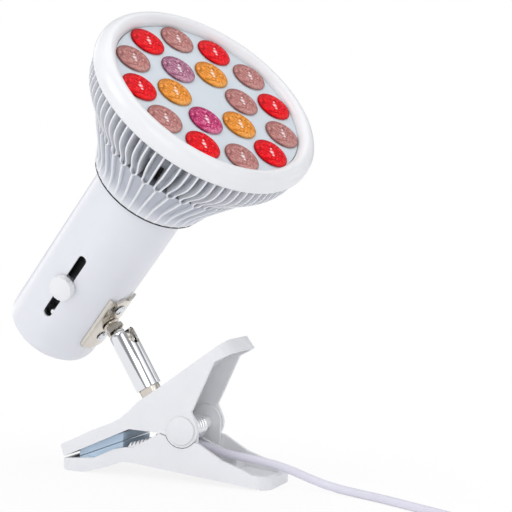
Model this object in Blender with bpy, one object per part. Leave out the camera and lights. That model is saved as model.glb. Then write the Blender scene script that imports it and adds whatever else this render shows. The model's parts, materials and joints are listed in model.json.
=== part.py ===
"""Clip-on infrared lamp: a round head with 18 lenses on a heat sink, in a tube housing on a ball joint,
carried by a white spring clamp. Metres, +Z up. The clamp frame has its origin on the clamp's pivot axis:
+X runs to the handles, -X to the jaws, +Y along the pivot. The lamp stands with the middle of its base
at the world's origin."""
import math

import bmesh
import bpy
import numpy as np
from mathutils import Matrix, Vector

# Sides of large, middle and small round pieces
LARGE_SIDES = 52
TUBE_SIDES = 40
MIDDLE_SIDES = 24
ROUND_SIDES = 18
SMALL_SIDES = 12

# General sizes
GAP = 0.0003
OVERRUN = 0.003

# Clamp levers: side view sizes from the pivot axis, plate and web walls
CLAMP_WIDTH = 0.0418
SIDE_WALL = 0.0023
WEB_WALL = 0.0025
END_WALL = 0.0024
PIVOT_HEIGHT = 0.0266
UPPER_JAW_REACH = 0.0676
UPPER_JAW_DROP_SHARE = 0.7293
UPPER_HANDLE_REACH = 0.0262
UPPER_HANDLE_RISE = 0.0484
LOWER_JAW_SHORTFALL = 0.0024
LOWER_HANDLE_REACH = 0.0480
# Height that the upper jaw reaches down, and the lower jaw's reach
UPPER_JAW_DROP = PIVOT_HEIGHT * UPPER_JAW_DROP_SHARE
LOWER_JAW_REACH = UPPER_JAW_REACH - LOWER_JAW_SHORTFALL
UPPER_LUG_RADIUS = 0.0088
LOWER_LUG_FOOT_SHARE = 0.8
LOWER_LUG_HALF_WIDTH = 0.0080
LOWER_LUG_RISE = 0.0098
LUG_RELIEF_RADIUS = 0.0092
LUG_THICKNESS = 0.0024
HANDLE_CORNER_RADIUS = 0.0090
# Side outlines as shares: x of jaw reach (negative) or handle reach, z of jaw drop (negative) or rise
UPPER_BACK_SHARES = (
    (-0.966, -1.0), (-1.0, -0.69), (-0.87, -0.46), (-0.744, -0.225), (-0.584, 0.008), (-0.51, 0.068),
    (-0.451, 0.14), (-0.396, 0.222), (-0.346, 0.288), (-0.154, 0.486), (0.818, 1.0), (1.0, 0.879),
)
UPPER_OPEN_SHARES = ((0.611, 0.761), (0.19, 0.208))
UPPER_WINDOW_SHARES = ((-0.17, -0.11), (-0.429, -0.088))
UPPER_LUG_START, UPPER_LUG_END = math.radians(25), math.radians(-160)
LOWER_BACK_SHARES = (
    (-1.0, -0.765), (-0.998, -0.968), (-0.965, -1.0), (-0.84, -1.0), (-0.78, -0.975), (-0.71, -0.915),
    (-0.605, -0.832), (-0.5, -0.725), (-0.452, -0.719), (-0.4, -0.722), (0.9, -0.975), (0.915, -1.0),
    (1.0, -1.0), (0.997, -0.8),
)
LOWER_OPEN_SHARES = (
    (0.968, -0.752), (0.815, -0.718), (0.701, -0.632), (0.473, -0.5), (0.204, -0.226),
)
LOWER_RELIEF_START, LOWER_RELIEF_END = math.radians(-36), math.radians(-158)
LOWER_WINDOW_SHARES = (
    (-0.185, -0.094), (-0.397, -0.412), (-0.479, -0.436), (-0.574, -0.496), (-0.739, -0.699),
)

# Jaw pads: rubber blocks whose faces lie on one sloped line
PAD_FAR_REACH_SHARE, PAD_NEAR_REACH_SHARE = 0.8506, 0.4882
PAD_FAR_DROP_SHARE, PAD_NEAR_DROP_SHARE = 0.7105, 0.3195
PAD_PLAY = 0.0003
PAD_CLEARANCE = 0.0004
PAD_FAR_REACH = UPPER_JAW_REACH * PAD_FAR_REACH_SHARE
PAD_NEAR_REACH = UPPER_JAW_REACH * PAD_NEAR_REACH_SHARE
PAD_FAR_DROP = PIVOT_HEIGHT * PAD_FAR_DROP_SHARE
PAD_NEAR_DROP = PIVOT_HEIGHT * PAD_NEAR_DROP_SHARE
PAD_THICKNESS = PIVOT_HEIGHT - WEB_WALL - PAD_FAR_DROP - PAD_PLAY - PAD_CLEARANCE
PAD_RIB_WALL = 0.0020
UPPER_PAD_RIB, LOWER_PAD_RIB = 0.0045, 0.0035
PAD_RIB_PLACE_SHARES = (0.14, 0.7)

# Grip teeth along the lower side plates, near the hinge
TOOTH_COUNT = 8
TOOTH_RISE = 0.0022
TOOTH_LEAN_SHARE = 0.8
TOOTH_DEPTH = 0.0022
TOOTH_ROOT = 0.0044
TOOTH_REACH_SHARES = (0.4438, 0.1997)
TOOTH_DROP_SHARES = (0.4361, 0.2256)

# Pivot pin, its sleeve and the torsion spring
PIN_RADIUS = 0.0020
PIN_PLAY = 0.0003
CAP_RADIUS = 0.0073
CAP_THICKNESS = 0.0009
CAP_WALL_SHARE = 0.6
CAP_TOP_SHARE = 0.9
CAP_DOME = 0.0005
SLEEVE_RADIUS = 0.0036
SPRING_WIRE = 0.0019
SPRING_COIL_RADIUS = 0.0053
SPRING_PITCH = 0.0034
SPRING_TURNS = 5
SPRING_POINTS_PER_TURN = 10
SPRING_START = -0.0142
SPRING_UPPER_LEG = 0.0285
SPRING_UPPER_SLOPE = math.radians(75)
SPRING_LOWER_LEG = 0.026
SPRING_LOWER_SLOPE = math.radians(-21)
LEG_REST_REACH = 0.0205
LEG_REST_WALL = 0.002
LEG_REST_FOOT_SHARE = 0.88
LEG_REST_START = 0.0033

# Arm: lean of its axis from upright, turn of its notch, lean of the stud in it, turn of the head
# The arm stands on the upper lever's back at shares of the jaw's reach and the handle's rise
ARM_FOOT_SHARES = (0.3589, 0.2707)
ARM_LEAN = math.radians(32.1)
ARM_SPIN = math.radians(-16.4)
STUD_LEAN = math.radians(16.4)
HEAD_TURN = math.radians(-4.05)

# Swivel tube, measured along its axis from the ball's centre
SWIVEL_RADIUS = 0.0070
SWIVEL_TOP = 0.0061
SWIVEL_LENGTH = 0.0335
SWIVEL_BORE = 0.00585
SWIVEL_MOUTH = 0.0056
SHOULDER_WIDTH = 0.0014
SHOULDER_HEIGHT = 0.0024
NOTCH_WIDTH = 0.0078
NOTCH_DEPTH = 0.0097
BALL_RADIUS = 0.0055
BALL_PLAY = 0.0003
CUP_START_SHARE = 0.1
SEAT_TOP, SEAT_BOTTOM = 0.0034, 0.0064
PLUG_BOTTOM = 0.0130
THREAD_BORE = 0.0030

# Collar under the swivel tube, its shank through the lever and its nut
COLLAR_RADIUS = 0.0057
COLLAR_FLAT = 0.0045
COLLAR_SPIGOT = 0.0052
COLLAR_SPIGOT_RISE = 0.0060
SHANK_RADIUS = 0.0043
BOSS_RADIUS = 0.0072
COLLAR_HEIGHT = 0.0047
BOSS_FOOT = 0.00117
BOSS_HEIGHT = 0.0059
BOSS_TOP = SWIVEL_LENGTH - SWIVEL_TOP + COLLAR_HEIGHT
BOSS_BOTTOM = BOSS_TOP + BOSS_HEIGHT
NUT_HALF_WIDTH = 0.0055
NUT_HEIGHT = 0.0040
SHANK_TAIL = 0.0010

# Ball stud, measured along its axis from the ball's centre
NECK_RADIUS = 0.0026
WASHER_START, WASHER_THICKNESS = 0.0057, 0.0008
WASHER_RADIUS = 0.0035
WASHER_BORE = 0.0029
HEX_HALF_WIDTH = 0.0045
HEX_START, HEX_END = 0.00785, 0.0104
HEX_CHAMFER = 0.00065
HEX_TOP_SHARE = 0.8
FLANGE_EDGE_SHARE = 0.3
FLANGE_RADIUS = 0.0050
FLANGE_HEIGHT = 0.0021
STUD_RADIUS = 0.0030
STUD_BORE = 0.0014
STUD_TAIL = 0.0045

# Tube housing: lamp frame, z from the lens face towards the bulb's foot is negative
TUBE_RADIUS = 0.0254
TUBE_WALL = 0.0010
MOUTH_GAP = 0.0004
TUBE_END = 0.1772
TUBE_END_ROUND = 0.0050
STUD_PLACE = 0.1430
BALL_TO_TUBE = 0.0147
BALL_TO_AXIS = TUBE_RADIUS + BALL_TO_TUBE
SLOT_TURN = math.radians(-80.5)
SLOT_TOP, SLOT_BOTTOM = 0.1063, 0.1523
SLOT_WIDTH = 0.0050

# Bracket plate and its screws
BRACKET_TURN = math.radians(-2)
BRACKET_TOP, BRACKET_BOTTOM = 0.1235, 0.1612
BRACKET_WIDTH = 0.0190
BRACKET_WALL = 0.0016
BRACKET_CORNER = 0.0025
BRACKET_DIP = 0.0022
BRACKET_STEPS = 8
KEYHOLE_PLACE, KEYHOLE_SIDE = 0.1278, 0.0062
KEYHOLE_WIDTH, KEYHOLE_LENGTH = 0.0022, 0.0040
SCREW_PLACES = (0.1310, 0.1522)
SCREW_RADIUS = 0.0015
SCREW_HEAD_RADIUS = 0.0032
SCREW_HEAD_HEIGHT = 0.0017
SCREW_TAIL = 0.0030

# Height knob
KNOB_PLACE = 0.1290
KNOB_RADIUS = 0.00675
KNOB_THICKNESS = 0.0044
KNOB_LIFT = 0.0006
KNOB_CHAMFER = 0.0006
KNOB_FLUTES = 20
KNOB_FLUTE_DEPTH = 0.00035
KNOB_STUD_RADIUS = 0.0022

# Lamp holder inside the tube
SOCKET_RADIUS = 0.0186
SOCKET_TOP, SOCKET_BOTTOM = 0.0850, 0.1380
SOCKET_FLOOR = 0.1130
SHELL_RADIUS, SHELL_WALL = 0.0140, 0.0004
SHELL_TOP, SHELL_BOTTOM = 0.0865, 0.1085
SOCKET_BORE_PLAY = 0.0003
CONTACT_RADIUS = 0.0030
NUT_PLATE_HEIGHT, NUT_PLATE_WIDTH = 0.0120, 0.0090
NUT_PLATE_PLAY = 0.0008
NUT_PLATE_OUTER = TUBE_RADIUS - TUBE_WALL - NUT_PLATE_PLAY

# Screw cap of the lamp: 27 mm thread
CAP_THREAD_RADIUS = 0.0132
CAP_THREAD_DEPTH = 0.0006
CAP_THREAD_PITCH = 0.00362
CAP_THREAD_TURNS = 4
CAP_TOP, CAP_BOTTOM = 0.0825, 0.1040
CAP_WALL = 0.0006
INSULATOR_BOTTOM = 0.1085
TIP_RADIUS = 0.0045
TIP_BOTTOM = 0.1105
TIP_END_SHARE = 0.75
DRIVER_PLAY = 0.0008
DRIVER_RADIUS = TUBE_RADIUS - TUBE_WALL - DRIVER_PLAY
DRIVER_SHOULDER = 0.0740
DRIVER_TOP = 0.0605

# Heat sink: 40 hairpin units of two fins each, and the ribbed bell below them
UNIT_COUNT = 40
UNIT_TURN = math.radians(3.6)
FIN_RADIUS = 0.0600
FIN_TOP, FIN_BOTTOM = 0.0069, 0.0342
SINK_BORE = 0.0380
BELL_TOP, BELL_BOTTOM = 0.0345, 0.0643
TUBE_MOUTH = BELL_BOTTOM + MOUTH_GAP
BELL_RADIUS = 0.0455
BELL_WALL = 0.0024
# Height as a share from top to bottom, then the fin tips, the inner end between two fins of a unit and
# the inner end between two units, as shares of the fin radius
FIN_STATION_SHARES = (
    (0.0, 0.99, 0.85, 0.85), (0.28, 0.985, 0.80, 0.80), (0.46, 0.94, 0.75, 0.585),
    (0.91, 0.80, 0.785, 0.585), (1.0, 0.765, 0.755, 0.725),
)
# Angles of a unit's six outline points as shares of the unit's pitch
FIN_ANGLE_SHARES = (-0.5, -0.325, -0.195, 0.0, 0.195, 0.325)
FIN_KIND = ("root", "tip", "tip", "valley", "tip", "tip")
# A rib's three outline points as shares of the unit's pitch
RIB_ANGLE_SHARES = (-0.2, 0.0, 0.2)
# Height as a share from top to bottom, rib and valley radius as shares of the bell's radius
BELL_STATION_SHARES = (
    (0.0, 1.0, 0.955), (0.10, 0.965, 0.92), (0.44, 0.83, 0.785), (0.64, 0.752, 0.732),
    (0.80, 0.722, 0.715), (0.90, 0.695, 0.69), (1.0, 0.572, 0.569),
)

# Bezel, face plate and light board
BEZEL_RADIUS = 0.0612
BEZEL_OPENING = 0.0518
BEZEL_BACK, BEZEL_FRONT = 0.0065, 0.0040
# Across the bezel from its opening to its rim, then its height: of the front where positive, of the
# back where negative
BEZEL_SHARES = (
    (0.0, -1.0), (0.02, 0.28), (0.14, 0.74), (0.36, 1.0), (0.64, 0.76), (0.88, 0.12), (1.0, -0.4),
    (0.97, -0.78), (0.8, -1.0),
)
FACE_DROP, FACE_THICKNESS = 0.0008, 0.0016
BOARD_DROP, BOARD_THICKNESS = 0.0030, 0.0016
BOARD_RADIUS = 0.0490

# Lenses
LENS_SIDES = 14
LENS_RADIUS = 0.0094
LENS_RISE = 0.0013
LENS_SHARES = ((1.0, 0.0), (1.0, 0.3), (0.7, 0.84), (0.0, 1.0))
OUTER_LENS_COUNT, OUTER_RING_RADIUS = 12, 0.04195
INNER_LENS_COUNT, INNER_RING_RADIUS = 6, 0.02085
LENS_TURN = math.radians(-170.64)

# Mains cord, its bushing, coil, tie and plug
CORD_DIAMETER = 0.0044
CORD_LENGTH = 1.8
BUSHING_REACH = 0.0225
BUSHING_DROP = 0.0136
BUSHING_LENGTH = 0.0200
BUSHING_SLOPE = math.radians(12.5)
BUSHING_ROOT_RADIUS = 0.0033
BUSHING_TIP_RADIUS = 0.0026
BUSHING_NECK_RADIUS = 0.0027
BULKHEAD_WALL = 0.0024
BULKHEAD_RISE = 0.0045
BULKHEAD_FOOT = 0.0054
COIL_CENTRE = (0.2170, -0.0505)
COIL_LAYERS = 4
COIL_TURNS_PER_LAYER = 2.3355
COIL_MEAN_RADIUS = 0.0250
COIL_PITCH = 0.0050
COIL_POINTS_PER_TURN = 22
COIL_START_ANGLE = math.radians(237)
TIE_THICKNESS = 0.0006
TIE_WIDTH = 0.0050
TIE_ANGLE = math.radians(-60)
TIE_PLAY = 0.0004
PLUG_WIDTH, PLUG_HEIGHT, PLUG_LENGTH = 0.0354, 0.0136, 0.0220
PLUG_CORNER = 0.0060
PLUG_PLACE = (0.2480, 0.0180)
PLUG_TURN = math.radians(90)
RELIEF_LENGTH = 0.0220
RELIEF_ROOT_RADIUS = 0.0042
PLUG_PIN_RADIUS, PLUG_PIN_LENGTH, PLUG_PIN_SPACING = 0.0020, 0.0190, 0.0186
PLUG_PIN_TIP_SHARE = 0.6
# Route of the free cord in the clamp frame, from the bushing's tip to the coil
CORD_ROUTE = (
    (0.0006, 0.0, -0.0088), (0.0045, 0.0, -0.0093), (0.0100, 0.0, -0.0109), (0.0180, 0.0, -0.0127),
    (0.0280, 0.0, -0.0139), (0.0380, 0.0, -0.0149), (0.0500, 0.0, -0.0170),
    (0.0600, -0.0004, -0.0199), (0.0700, -0.0016, -0.0226), (0.0800, -0.0044, -0.0240),
    (0.0920, -0.0096, -0.0244), (0.1069, -0.0173, -0.0244), (0.1230, -0.0272, -0.0244),
    (0.1400, -0.0379, -0.0244), (0.1600, -0.0505, -0.0243), (0.1780, -0.0619, -0.0238),
)
CORD_STEP = 0.0095
CORD_LEAD = 0.0015

# Colours: red, green, blue, then roughness and metallic
FINISHES = {
    "white_plastic": ((0.80, 0.80, 0.82), 0.40, 0.0),
    "white_gloss": ((0.88, 0.88, 0.89), 0.22, 0.0),
    "tube_enamel": ((0.74, 0.76, 0.83), 0.30, 0.0),
    "sink_enamel": ((0.80, 0.81, 0.84), 0.40, 0.0),
    "face_white": ((0.70, 0.75, 0.79), 0.35, 0.0),
    "pad_rubber": ((0.42, 0.49, 0.58), 0.60, 0.0),
    "chrome": ((0.80, 0.82, 0.86), 0.08, 1.0),
    "nickel": ((0.68, 0.64, 0.58), 0.25, 1.0),
    "spring_steel": ((0.66, 0.68, 0.70), 0.30, 1.0),
    "zinc": ((0.72, 0.74, 0.77), 0.28, 1.0),
    "brass": ((0.75, 0.58, 0.30), 0.30, 1.0),
    "black_plastic": ((0.02, 0.02, 0.02), 0.45, 0.0),
    "board_green": ((0.75, 0.75, 0.72), 0.55, 0.0),
    "glass_insulator": ((0.05, 0.05, 0.08), 0.20, 0.0),
    "cord_white": ((0.64, 0.62, 0.72), 0.45, 0.0),
    "tie_black": ((0.03, 0.03, 0.03), 0.50, 0.0),
    "lens_red": ((0.75, 0.03, 0.05), 0.12, 0.0),
    "lens_pale": ((0.52, 0.24, 0.23), 0.15, 0.0),
    "lens_mauve": ((0.52, 0.26, 0.32), 0.15, 0.0),
    "lens_orange": ((0.80, 0.32, 0.10), 0.12, 0.0),
    "lens_magenta": ((0.62, 0.14, 0.25), 0.15, 0.0),
}
OUTER_LENS_FINISHES = ("lens_red", "lens_pale")
INNER_LENS_FINISHES = (
    "lens_mauve", "lens_orange", "lens_pale", "lens_orange", "lens_magenta", "lens_orange",
)


def material(finish):
    """The finish's material, made once."""
    if finish in bpy.data.materials:
        return bpy.data.materials[finish]
    colour, roughness, metallic = FINISHES[finish]
    made = bpy.data.materials.new(finish)
    made.use_nodes = True
    shader = made.node_tree.nodes["Principled BSDF"]
    shader.inputs["Base Color"].default_value = (*colour, 1.0)
    shader.inputs["Roughness"].default_value = roughness
    shader.inputs["Metallic"].default_value = metallic
    return made


def frame(name, parent=None, place=(0.0, 0.0, 0.0), turn=None):
    """An empty that carries pieces, at place and turned by a matrix in its parent."""
    made = bpy.data.objects.new(name, None)
    bpy.context.collection.objects.link(made)
    made.parent = parent
    made.matrix_local = Matrix.Translation(place) @ (turn or Matrix()).to_4x4()
    return made


def piece(name, data, parent, finish, place=(0.0, 0.0, 0.0), turn=None):
    """A visible piece in its own object."""
    made = bpy.data.objects.new(name, data)
    bpy.context.collection.objects.link(made)
    data.materials.append(material(finish))
    made.parent = parent
    made.matrix_local = Matrix.Translation(place) @ (turn or Matrix()).to_4x4()
    return made


def tool(name, data, parent, place=(0.0, 0.0, 0.0), turn=None):
    """A shape that only cuts or joins others, left out of the build."""
    made = bpy.data.objects.new(name, data)
    bpy.context.collection.objects.link(made)
    made.parent = parent
    made.matrix_local = Matrix.Translation(place) @ (turn or Matrix()).to_4x4()
    made.hide_render = True
    made.display_type = "WIRE"
    return made


def combine(target, other, operation):
    """Adds a Boolean of target with other."""
    modifier = target.modifiers.new(other.name, "BOOLEAN")
    modifier.operation = operation
    modifier.object = other
    modifier.solver = "EXACT"


def finished(name, grid, smooth_angle=None):
    """The mesh of a bmesh, faces outward."""
    bmesh.ops.recalc_face_normals(grid, faces=grid.faces)
    data = bpy.data.meshes.new(name)
    grid.to_mesh(data)
    grid.free()
    if smooth_angle is not None:
        data.shade_smooth()
        data.set_sharp_from_angle(angle=smooth_angle)
    return data


SMOOTH = math.radians(40)


def lofted(name, rings, closed=False, smooth_angle=SMOOTH):
    """A closed body through rings of points. A ring of one point is a tip, and a closed body joins its
    last ring to its first."""
    grid = bmesh.new()
    loops = [[grid.verts.new(point) for point in ring] for ring in rings]
    pairs = list(zip(loops, loops[1:]))
    if closed:
        pairs.append((loops[-1], loops[0]))
    for lower, upper in pairs:
        count = max(len(lower), len(upper))
        for i in range(count):
            j = (i + 1) % count
            if len(lower) == 1:
                grid.faces.new((lower[0], upper[i], upper[j]))
            elif len(upper) == 1:
                grid.faces.new((lower[j], lower[i], upper[0]))
            else:
                grid.faces.new((lower[j], lower[i], upper[i], upper[j]))
    if not closed:
        for loop in (loops[0], loops[-1]):
            if len(loop) > 2:
                grid.faces.new(loop)
    return finished(name, grid, smooth_angle)


def circle(radius, height, segments=ROUND_SIDES):
    """Points of a circle round Z, or one point on the axis."""
    if radius == 0:
        return [Vector((0.0, 0.0, height))]
    angles = [2 * math.pi * i / segments for i in range(segments)]
    return [Vector((radius * math.cos(a), radius * math.sin(a), height)) for a in angles]


def turned(name, outline, segments, closed=False, smooth_angle=SMOOTH):
    """A turned piece from (radius, height) points."""
    return lofted(name, [circle(r, z, segments) for r, z in outline], closed, smooth_angle)


def prism(name, outline, low, high, plane="XZ", smooth_angle=None):
    """A flat outline made solid between low and high along the plane's normal."""
    def at(a, b, h):
        return {"XZ": (a, h, b), "XY": (a, b, h), "YZ": (h, a, b)}[plane]

    rings = [[Vector(at(a, b, h)) for a, b in outline] for h in (low, high)]
    return lofted(name, rings, smooth_angle=smooth_angle)


def arc(radius, start, end, steps, centre=(0.0, 0.0)):
    """Points of an arc in a plane."""
    angles = [start + (end - start) * i / steps for i in range(steps + 1)]
    return [(centre[0] + radius * math.cos(a), centre[1] + radius * math.sin(a)) for a in angles]


def rounded_box(half_length, half_width, radius, steps=4):
    """A rectangle with round corners."""
    points = []
    for k, (sx, sy) in enumerate(((1, 1), (-1, 1), (-1, -1), (1, -1))):
        centre = (sx * (half_length - radius), sy * (half_width - radius))
        start = k * math.pi / 2
        points += arc(radius, start, start + math.pi / 2, steps, centre)
    return points


def hexagon(half_width, height, segments):
    """A hexagon's outline as a ring of points, half_width across its flats."""
    points = []
    for i in range(segments):
        angle = 2 * math.pi * i / segments
        off = (angle + math.pi / 6) % (math.pi / 3) - math.pi / 6
        reach = half_width / math.cos(off)
        points.append(Vector((reach * math.cos(angle), reach * math.sin(angle), height)))
    return points


def inset_line(points, distance):
    """An open line moved sideways by distance, its corners kept sharp."""
    moved = []
    for i, point in enumerate(points):
        before = points[i] if i == 0 else points[i - 1]
        after = points[i] if i == len(points) - 1 else points[i + 1]
        normals = []
        for a, b in ((before, point), (point, after)):
            along = Vector((b[0] - a[0], b[1] - a[1]))
            if along.length > 0:
                along.normalize()
                normals.append(Vector((along.y, -along.x)))
        mean = sum(normals, Vector((0.0, 0.0)))
        mean.normalize()
        reach = distance / mean.dot(normals[0])
        moved.append((point[0] + mean.x * reach, point[1] + mean.y * reach))
    return moved


def smooth_curve(points, step):
    """Points about a step apart on the smooth curve through the given points."""
    given = [Vector(p) for p in points]
    ends = [2 * given[0] - given[1], *given, 2 * given[-1] - given[-2]]
    fine = []
    for a, b, c, d in zip(ends, ends[1:], ends[2:], ends[3:]):
        for k in range(24):
            t = k / 24
            fine.append(0.5 * (2 * b + (c - a) * t + (2 * a - 5 * b + 4 * c - d) * t * t
                               + (3 * b - a - 3 * c + d) * t ** 3))
    fine.append(given[-1])
    lengths = [0.0]
    for a, b in zip(fine, fine[1:]):
        lengths.append(lengths[-1] + (b - a).length)
    count = max(2, round(lengths[-1] / step))
    even = np.linspace(0, lengths[-1], count + 1)
    axes = [np.interp(even, lengths, [p[i] for p in fine]) for i in range(3)]
    return [Vector(p) for p in zip(*axes)]


def line_length(points):
    return sum((Vector(b) - Vector(a)).length for a, b in zip(points, points[1:]))


def wire(name, points, radius, parent, finish, resolution):
    """A round wire or cord along points."""
    data = bpy.data.curves.new(name, "CURVE")
    data.dimensions = "3D"
    data.bevel_depth = radius
    data.bevel_resolution = resolution
    data.use_fill_caps = True
    spline = data.splines.new("POLY")
    spline.points.add(len(points) - 1)
    for slot, point in zip(spline.points, points):
        slot.co = (*point, 1.0)
    return piece(name, data, parent, finish)


def least_gap(points, diameter, skip):
    """The least gap of a wound tube to itself, measured on points further apart than skip along it."""
    places = np.array([tuple(p) for p in points])
    along = np.concatenate([[0.0], np.cumsum(np.linalg.norm(np.diff(places, axis=0), axis=1))])
    apart = np.linalg.norm(places[:, None] - places[None], axis=2)
    far = np.abs(along[:, None] - along[None]) > skip
    return float(apart[far].min() - diameter)


def scaled(shares, reach, drop, handle, rise):
    """Outline points from shares: jaw reach and drop where negative, handle reach and rise where not."""
    return [(x * (reach if x < 0 else handle), z * (drop if z < 0 else rise)) for x, z in shares]


HALF_WIDTH = CLAMP_WIDTH / 2
INSIDE = HALF_WIDTH - SIDE_WALL


def upper_back():
    return scaled(UPPER_BACK_SHARES, UPPER_JAW_REACH, UPPER_JAW_DROP, UPPER_HANDLE_REACH,
                  UPPER_HANDLE_RISE)


def upper_outline():
    sizes = (UPPER_JAW_REACH, UPPER_JAW_DROP, UPPER_HANDLE_REACH, UPPER_HANDLE_RISE)
    lug = arc(UPPER_LUG_RADIUS, UPPER_LUG_START, UPPER_LUG_END, 10)
    return upper_back() + scaled(UPPER_OPEN_SHARES, *sizes) + lug + scaled(UPPER_WINDOW_SHARES, *sizes)


def lower_back():
    return scaled(LOWER_BACK_SHARES, LOWER_JAW_REACH, PIVOT_HEIGHT, LOWER_HANDLE_REACH, PIVOT_HEIGHT)


def lower_outline():
    sizes = (LOWER_JAW_REACH, PIVOT_HEIGHT, LOWER_HANDLE_REACH, PIVOT_HEIGHT)
    relief = arc(LUG_RELIEF_RADIUS, LOWER_RELIEF_START, LOWER_RELIEF_END, 8)
    return lower_back() + scaled(LOWER_OPEN_SHARES, *sizes) + relief + scaled(LOWER_WINDOW_SHARES, *sizes)


def plan_shape(name, parent, length_low, length_high, half_width, corner, depth, slope):
    """A rounded plan outline, solid across depth, with its length along a slope in the side view."""
    ends = [(length_low, half_width), (length_low, -half_width)]
    tail = arc(corner, -math.pi / 2, 0, 5, (length_high - corner, -half_width + corner))
    head = arc(corner, 0, math.pi / 2, 5, (length_high - corner, half_width - corner))
    data = prism(name, ends + tail + head, -depth, depth, "XY")
    return tool(name, data, parent, turn=Matrix.Rotation(-slope, 3, "Y"))


def lever(name, outline, back, parent, inward, slope, far_end):
    """A channel: side plates and web from the side outline, hollow between the plates."""
    outer = prism(name, outline, -HALF_WIDTH, HALF_WIDTH)
    made = piece(name, outer, parent, "white_plastic")
    reach = 2 * UPPER_JAW_REACH
    corner_out = plan_shape(name + "_plan", parent, -reach, far_end, HALF_WIDTH,
                            HANDLE_CORNER_RADIUS, reach, slope)
    combine(made, corner_out, "INTERSECT")
    inner_line = inset_line(back, inward * WEB_WALL)
    first, last = inner_line[0], inner_line[-1]
    beyond = [(last[0] + (last[0] - inner_line[-2][0]), last[1] + (last[1] - inner_line[-2][1])),
              (reach, -inward * reach), (-reach, -inward * reach),
              (first[0] + (first[0] - inner_line[1][0]), first[1] + (first[1] - inner_line[1][1]))]
    hollow = tool(name + "_hollow", prism(name + "_hollow", inner_line + beyond, -INSIDE, INSIDE), parent)
    corner_in = plan_shape(name + "_plan_inside", parent, -2 * reach, far_end - END_WALL, INSIDE,
                           HANDLE_CORNER_RADIUS - SIDE_WALL, 2 * reach, slope)
    combine(hollow, corner_in, "INTERSECT")
    combine(made, hollow, "DIFFERENCE")
    return made


def bored(target, parent, radius, low, high, name, place=(0.0, 0.0, 0.0), turn=None,
          segments=ROUND_SIDES):
    """Cuts a round hole along the local Z of place and turn."""
    data = turned(name, [(radius, high), (radius, low)], segments)
    combine(target, tool(name, data, parent, place, turn), "DIFFERENCE")


ALONG_Y = Matrix.Rotation(-math.pi / 2, 3, "X")


def pad_line(extra):
    """The pads' meeting line, moved up by extra, from tip to hinge side."""
    return [(-PAD_FAR_REACH, -PAD_FAR_DROP + extra), (-PAD_NEAR_REACH, -PAD_NEAR_DROP + extra)]


def pad(name, parent, low, high):
    """A rubber block between two lines parallel to the jaw."""
    outline = pad_line(low) + pad_line(high)[::-1]
    width = INSIDE - GAP
    return piece(name, prism(name, outline, -width, width), parent, "pad_rubber")


def pad_ribs(target, parent, line_offset, reach_to, name):
    """Cross ribs that carry a pad, from its back to the lever's web."""
    (x0, z0), (x1, z1) = pad_line(line_offset)
    for k, share in enumerate(PAD_RIB_PLACE_SHARES):
        x = x0 + (x1 - x0) * share
        z = z0 + (z1 - z0) * share
        slope = (z1 - z0) / (x1 - x0)
        outline = [(x, z), (x + PAD_RIB_WALL, z + PAD_RIB_WALL * slope),
                   (x + PAD_RIB_WALL, z + reach_to), (x, z + reach_to)]
        rib = tool(f"{name}_{k}", prism(f"{name}_{k}", outline, -INSIDE - GAP, INSIDE + GAP), parent)
        combine(target, rib, "UNION")


def build_lower_lever(base):
    made = lever("lower_lever", lower_outline(), lower_back(), base, -1, 0.0, LOWER_HANDLE_REACH)
    for side in (-1, 1):
        outer = side * (INSIDE - GAP)
        inner = side * (INSIDE - GAP - LUG_THICKNESS)
        half = LOWER_LUG_HALF_WIDTH
        top = [(half * x, LOWER_LUG_RISE * z) for x, z in arc(1, 0, math.pi, 12)]
        foot = -PIVOT_HEIGHT * LOWER_LUG_FOOT_SHARE
        lug_data = prism("lug", top + [(-half, foot), (half, foot)],
                         min(inner, outer), max(inner, outer))
        combine(made, tool(f"lower_lug_{side}", lug_data, base), "UNION")
        wide = side * (INSIDE + GAP)
        join = [(-half, foot), (half, foot), (half, -LUG_RELIEF_RADIUS - GAP),
                (-half, -LUG_RELIEF_RADIUS - GAP)]
        join_data = prism("join", join, min(inner, wide), max(inner, wide))
        combine(made, tool(f"lower_lug_foot_{side}", join_data, base), "UNION")
        rack = tool(f"teeth_{side}", teeth(side), base)
        combine(made, rack, "UNION")
    pad_ribs(made, base, -PAD_PLAY - PAD_THICKNESS - GAP, -LOWER_PAD_RIB, "lower_pad_rib")
    build_bulkhead(made, base)
    rest_low = -PIVOT_HEIGHT * LEG_REST_FOOT_SHARE
    rest_high = leg_height(LEG_REST_REACH) - SPRING_WIRE / 2 / math.cos(SPRING_LOWER_SLOPE) - GAP * 2
    rest = [(LEG_REST_REACH, rest_low), (LEG_REST_REACH + LEG_REST_WALL, rest_low),
            (LEG_REST_REACH + LEG_REST_WALL, rest_high + LEG_REST_WALL * math.tan(SPRING_LOWER_SLOPE)),
            (LEG_REST_REACH, rest_high)]
    rest_data = prism("leg_rest", rest, LEG_REST_START, INSIDE + GAP)
    combine(made, tool("leg_rest", rest_data, base), "UNION")
    bored(made, base, PIN_RADIUS + PIN_PLAY, -CLAMP_WIDTH, CLAMP_WIDTH, "lower_bore", turn=ALONG_Y)
    return made


def teeth(side):
    """A row of grip teeth just inside a lower side plate."""
    start, end = (Vector((-UPPER_JAW_REACH * reach, -PIVOT_HEIGHT * drop))
                  for reach, drop in zip(TOOTH_REACH_SHARES, TOOTH_DROP_SHARES))
    step = (end - start) / TOOTH_COUNT
    below = Vector((0.0, -TOOTH_ROOT))
    points = [tuple(end + below), tuple(start + below)]
    for k in range(TOOTH_COUNT):
        low = start + step * k
        peak = low + step * TOOTH_LEAN_SHARE + Vector((0.0, TOOTH_RISE))
        points += [tuple(low), tuple(peak)]
    points.append(tuple(end))
    inner, outer = side * (INSIDE - TOOTH_DEPTH), side * (INSIDE + GAP)
    return prism("teeth", points, min(inner, outer), max(inner, outer))


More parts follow.
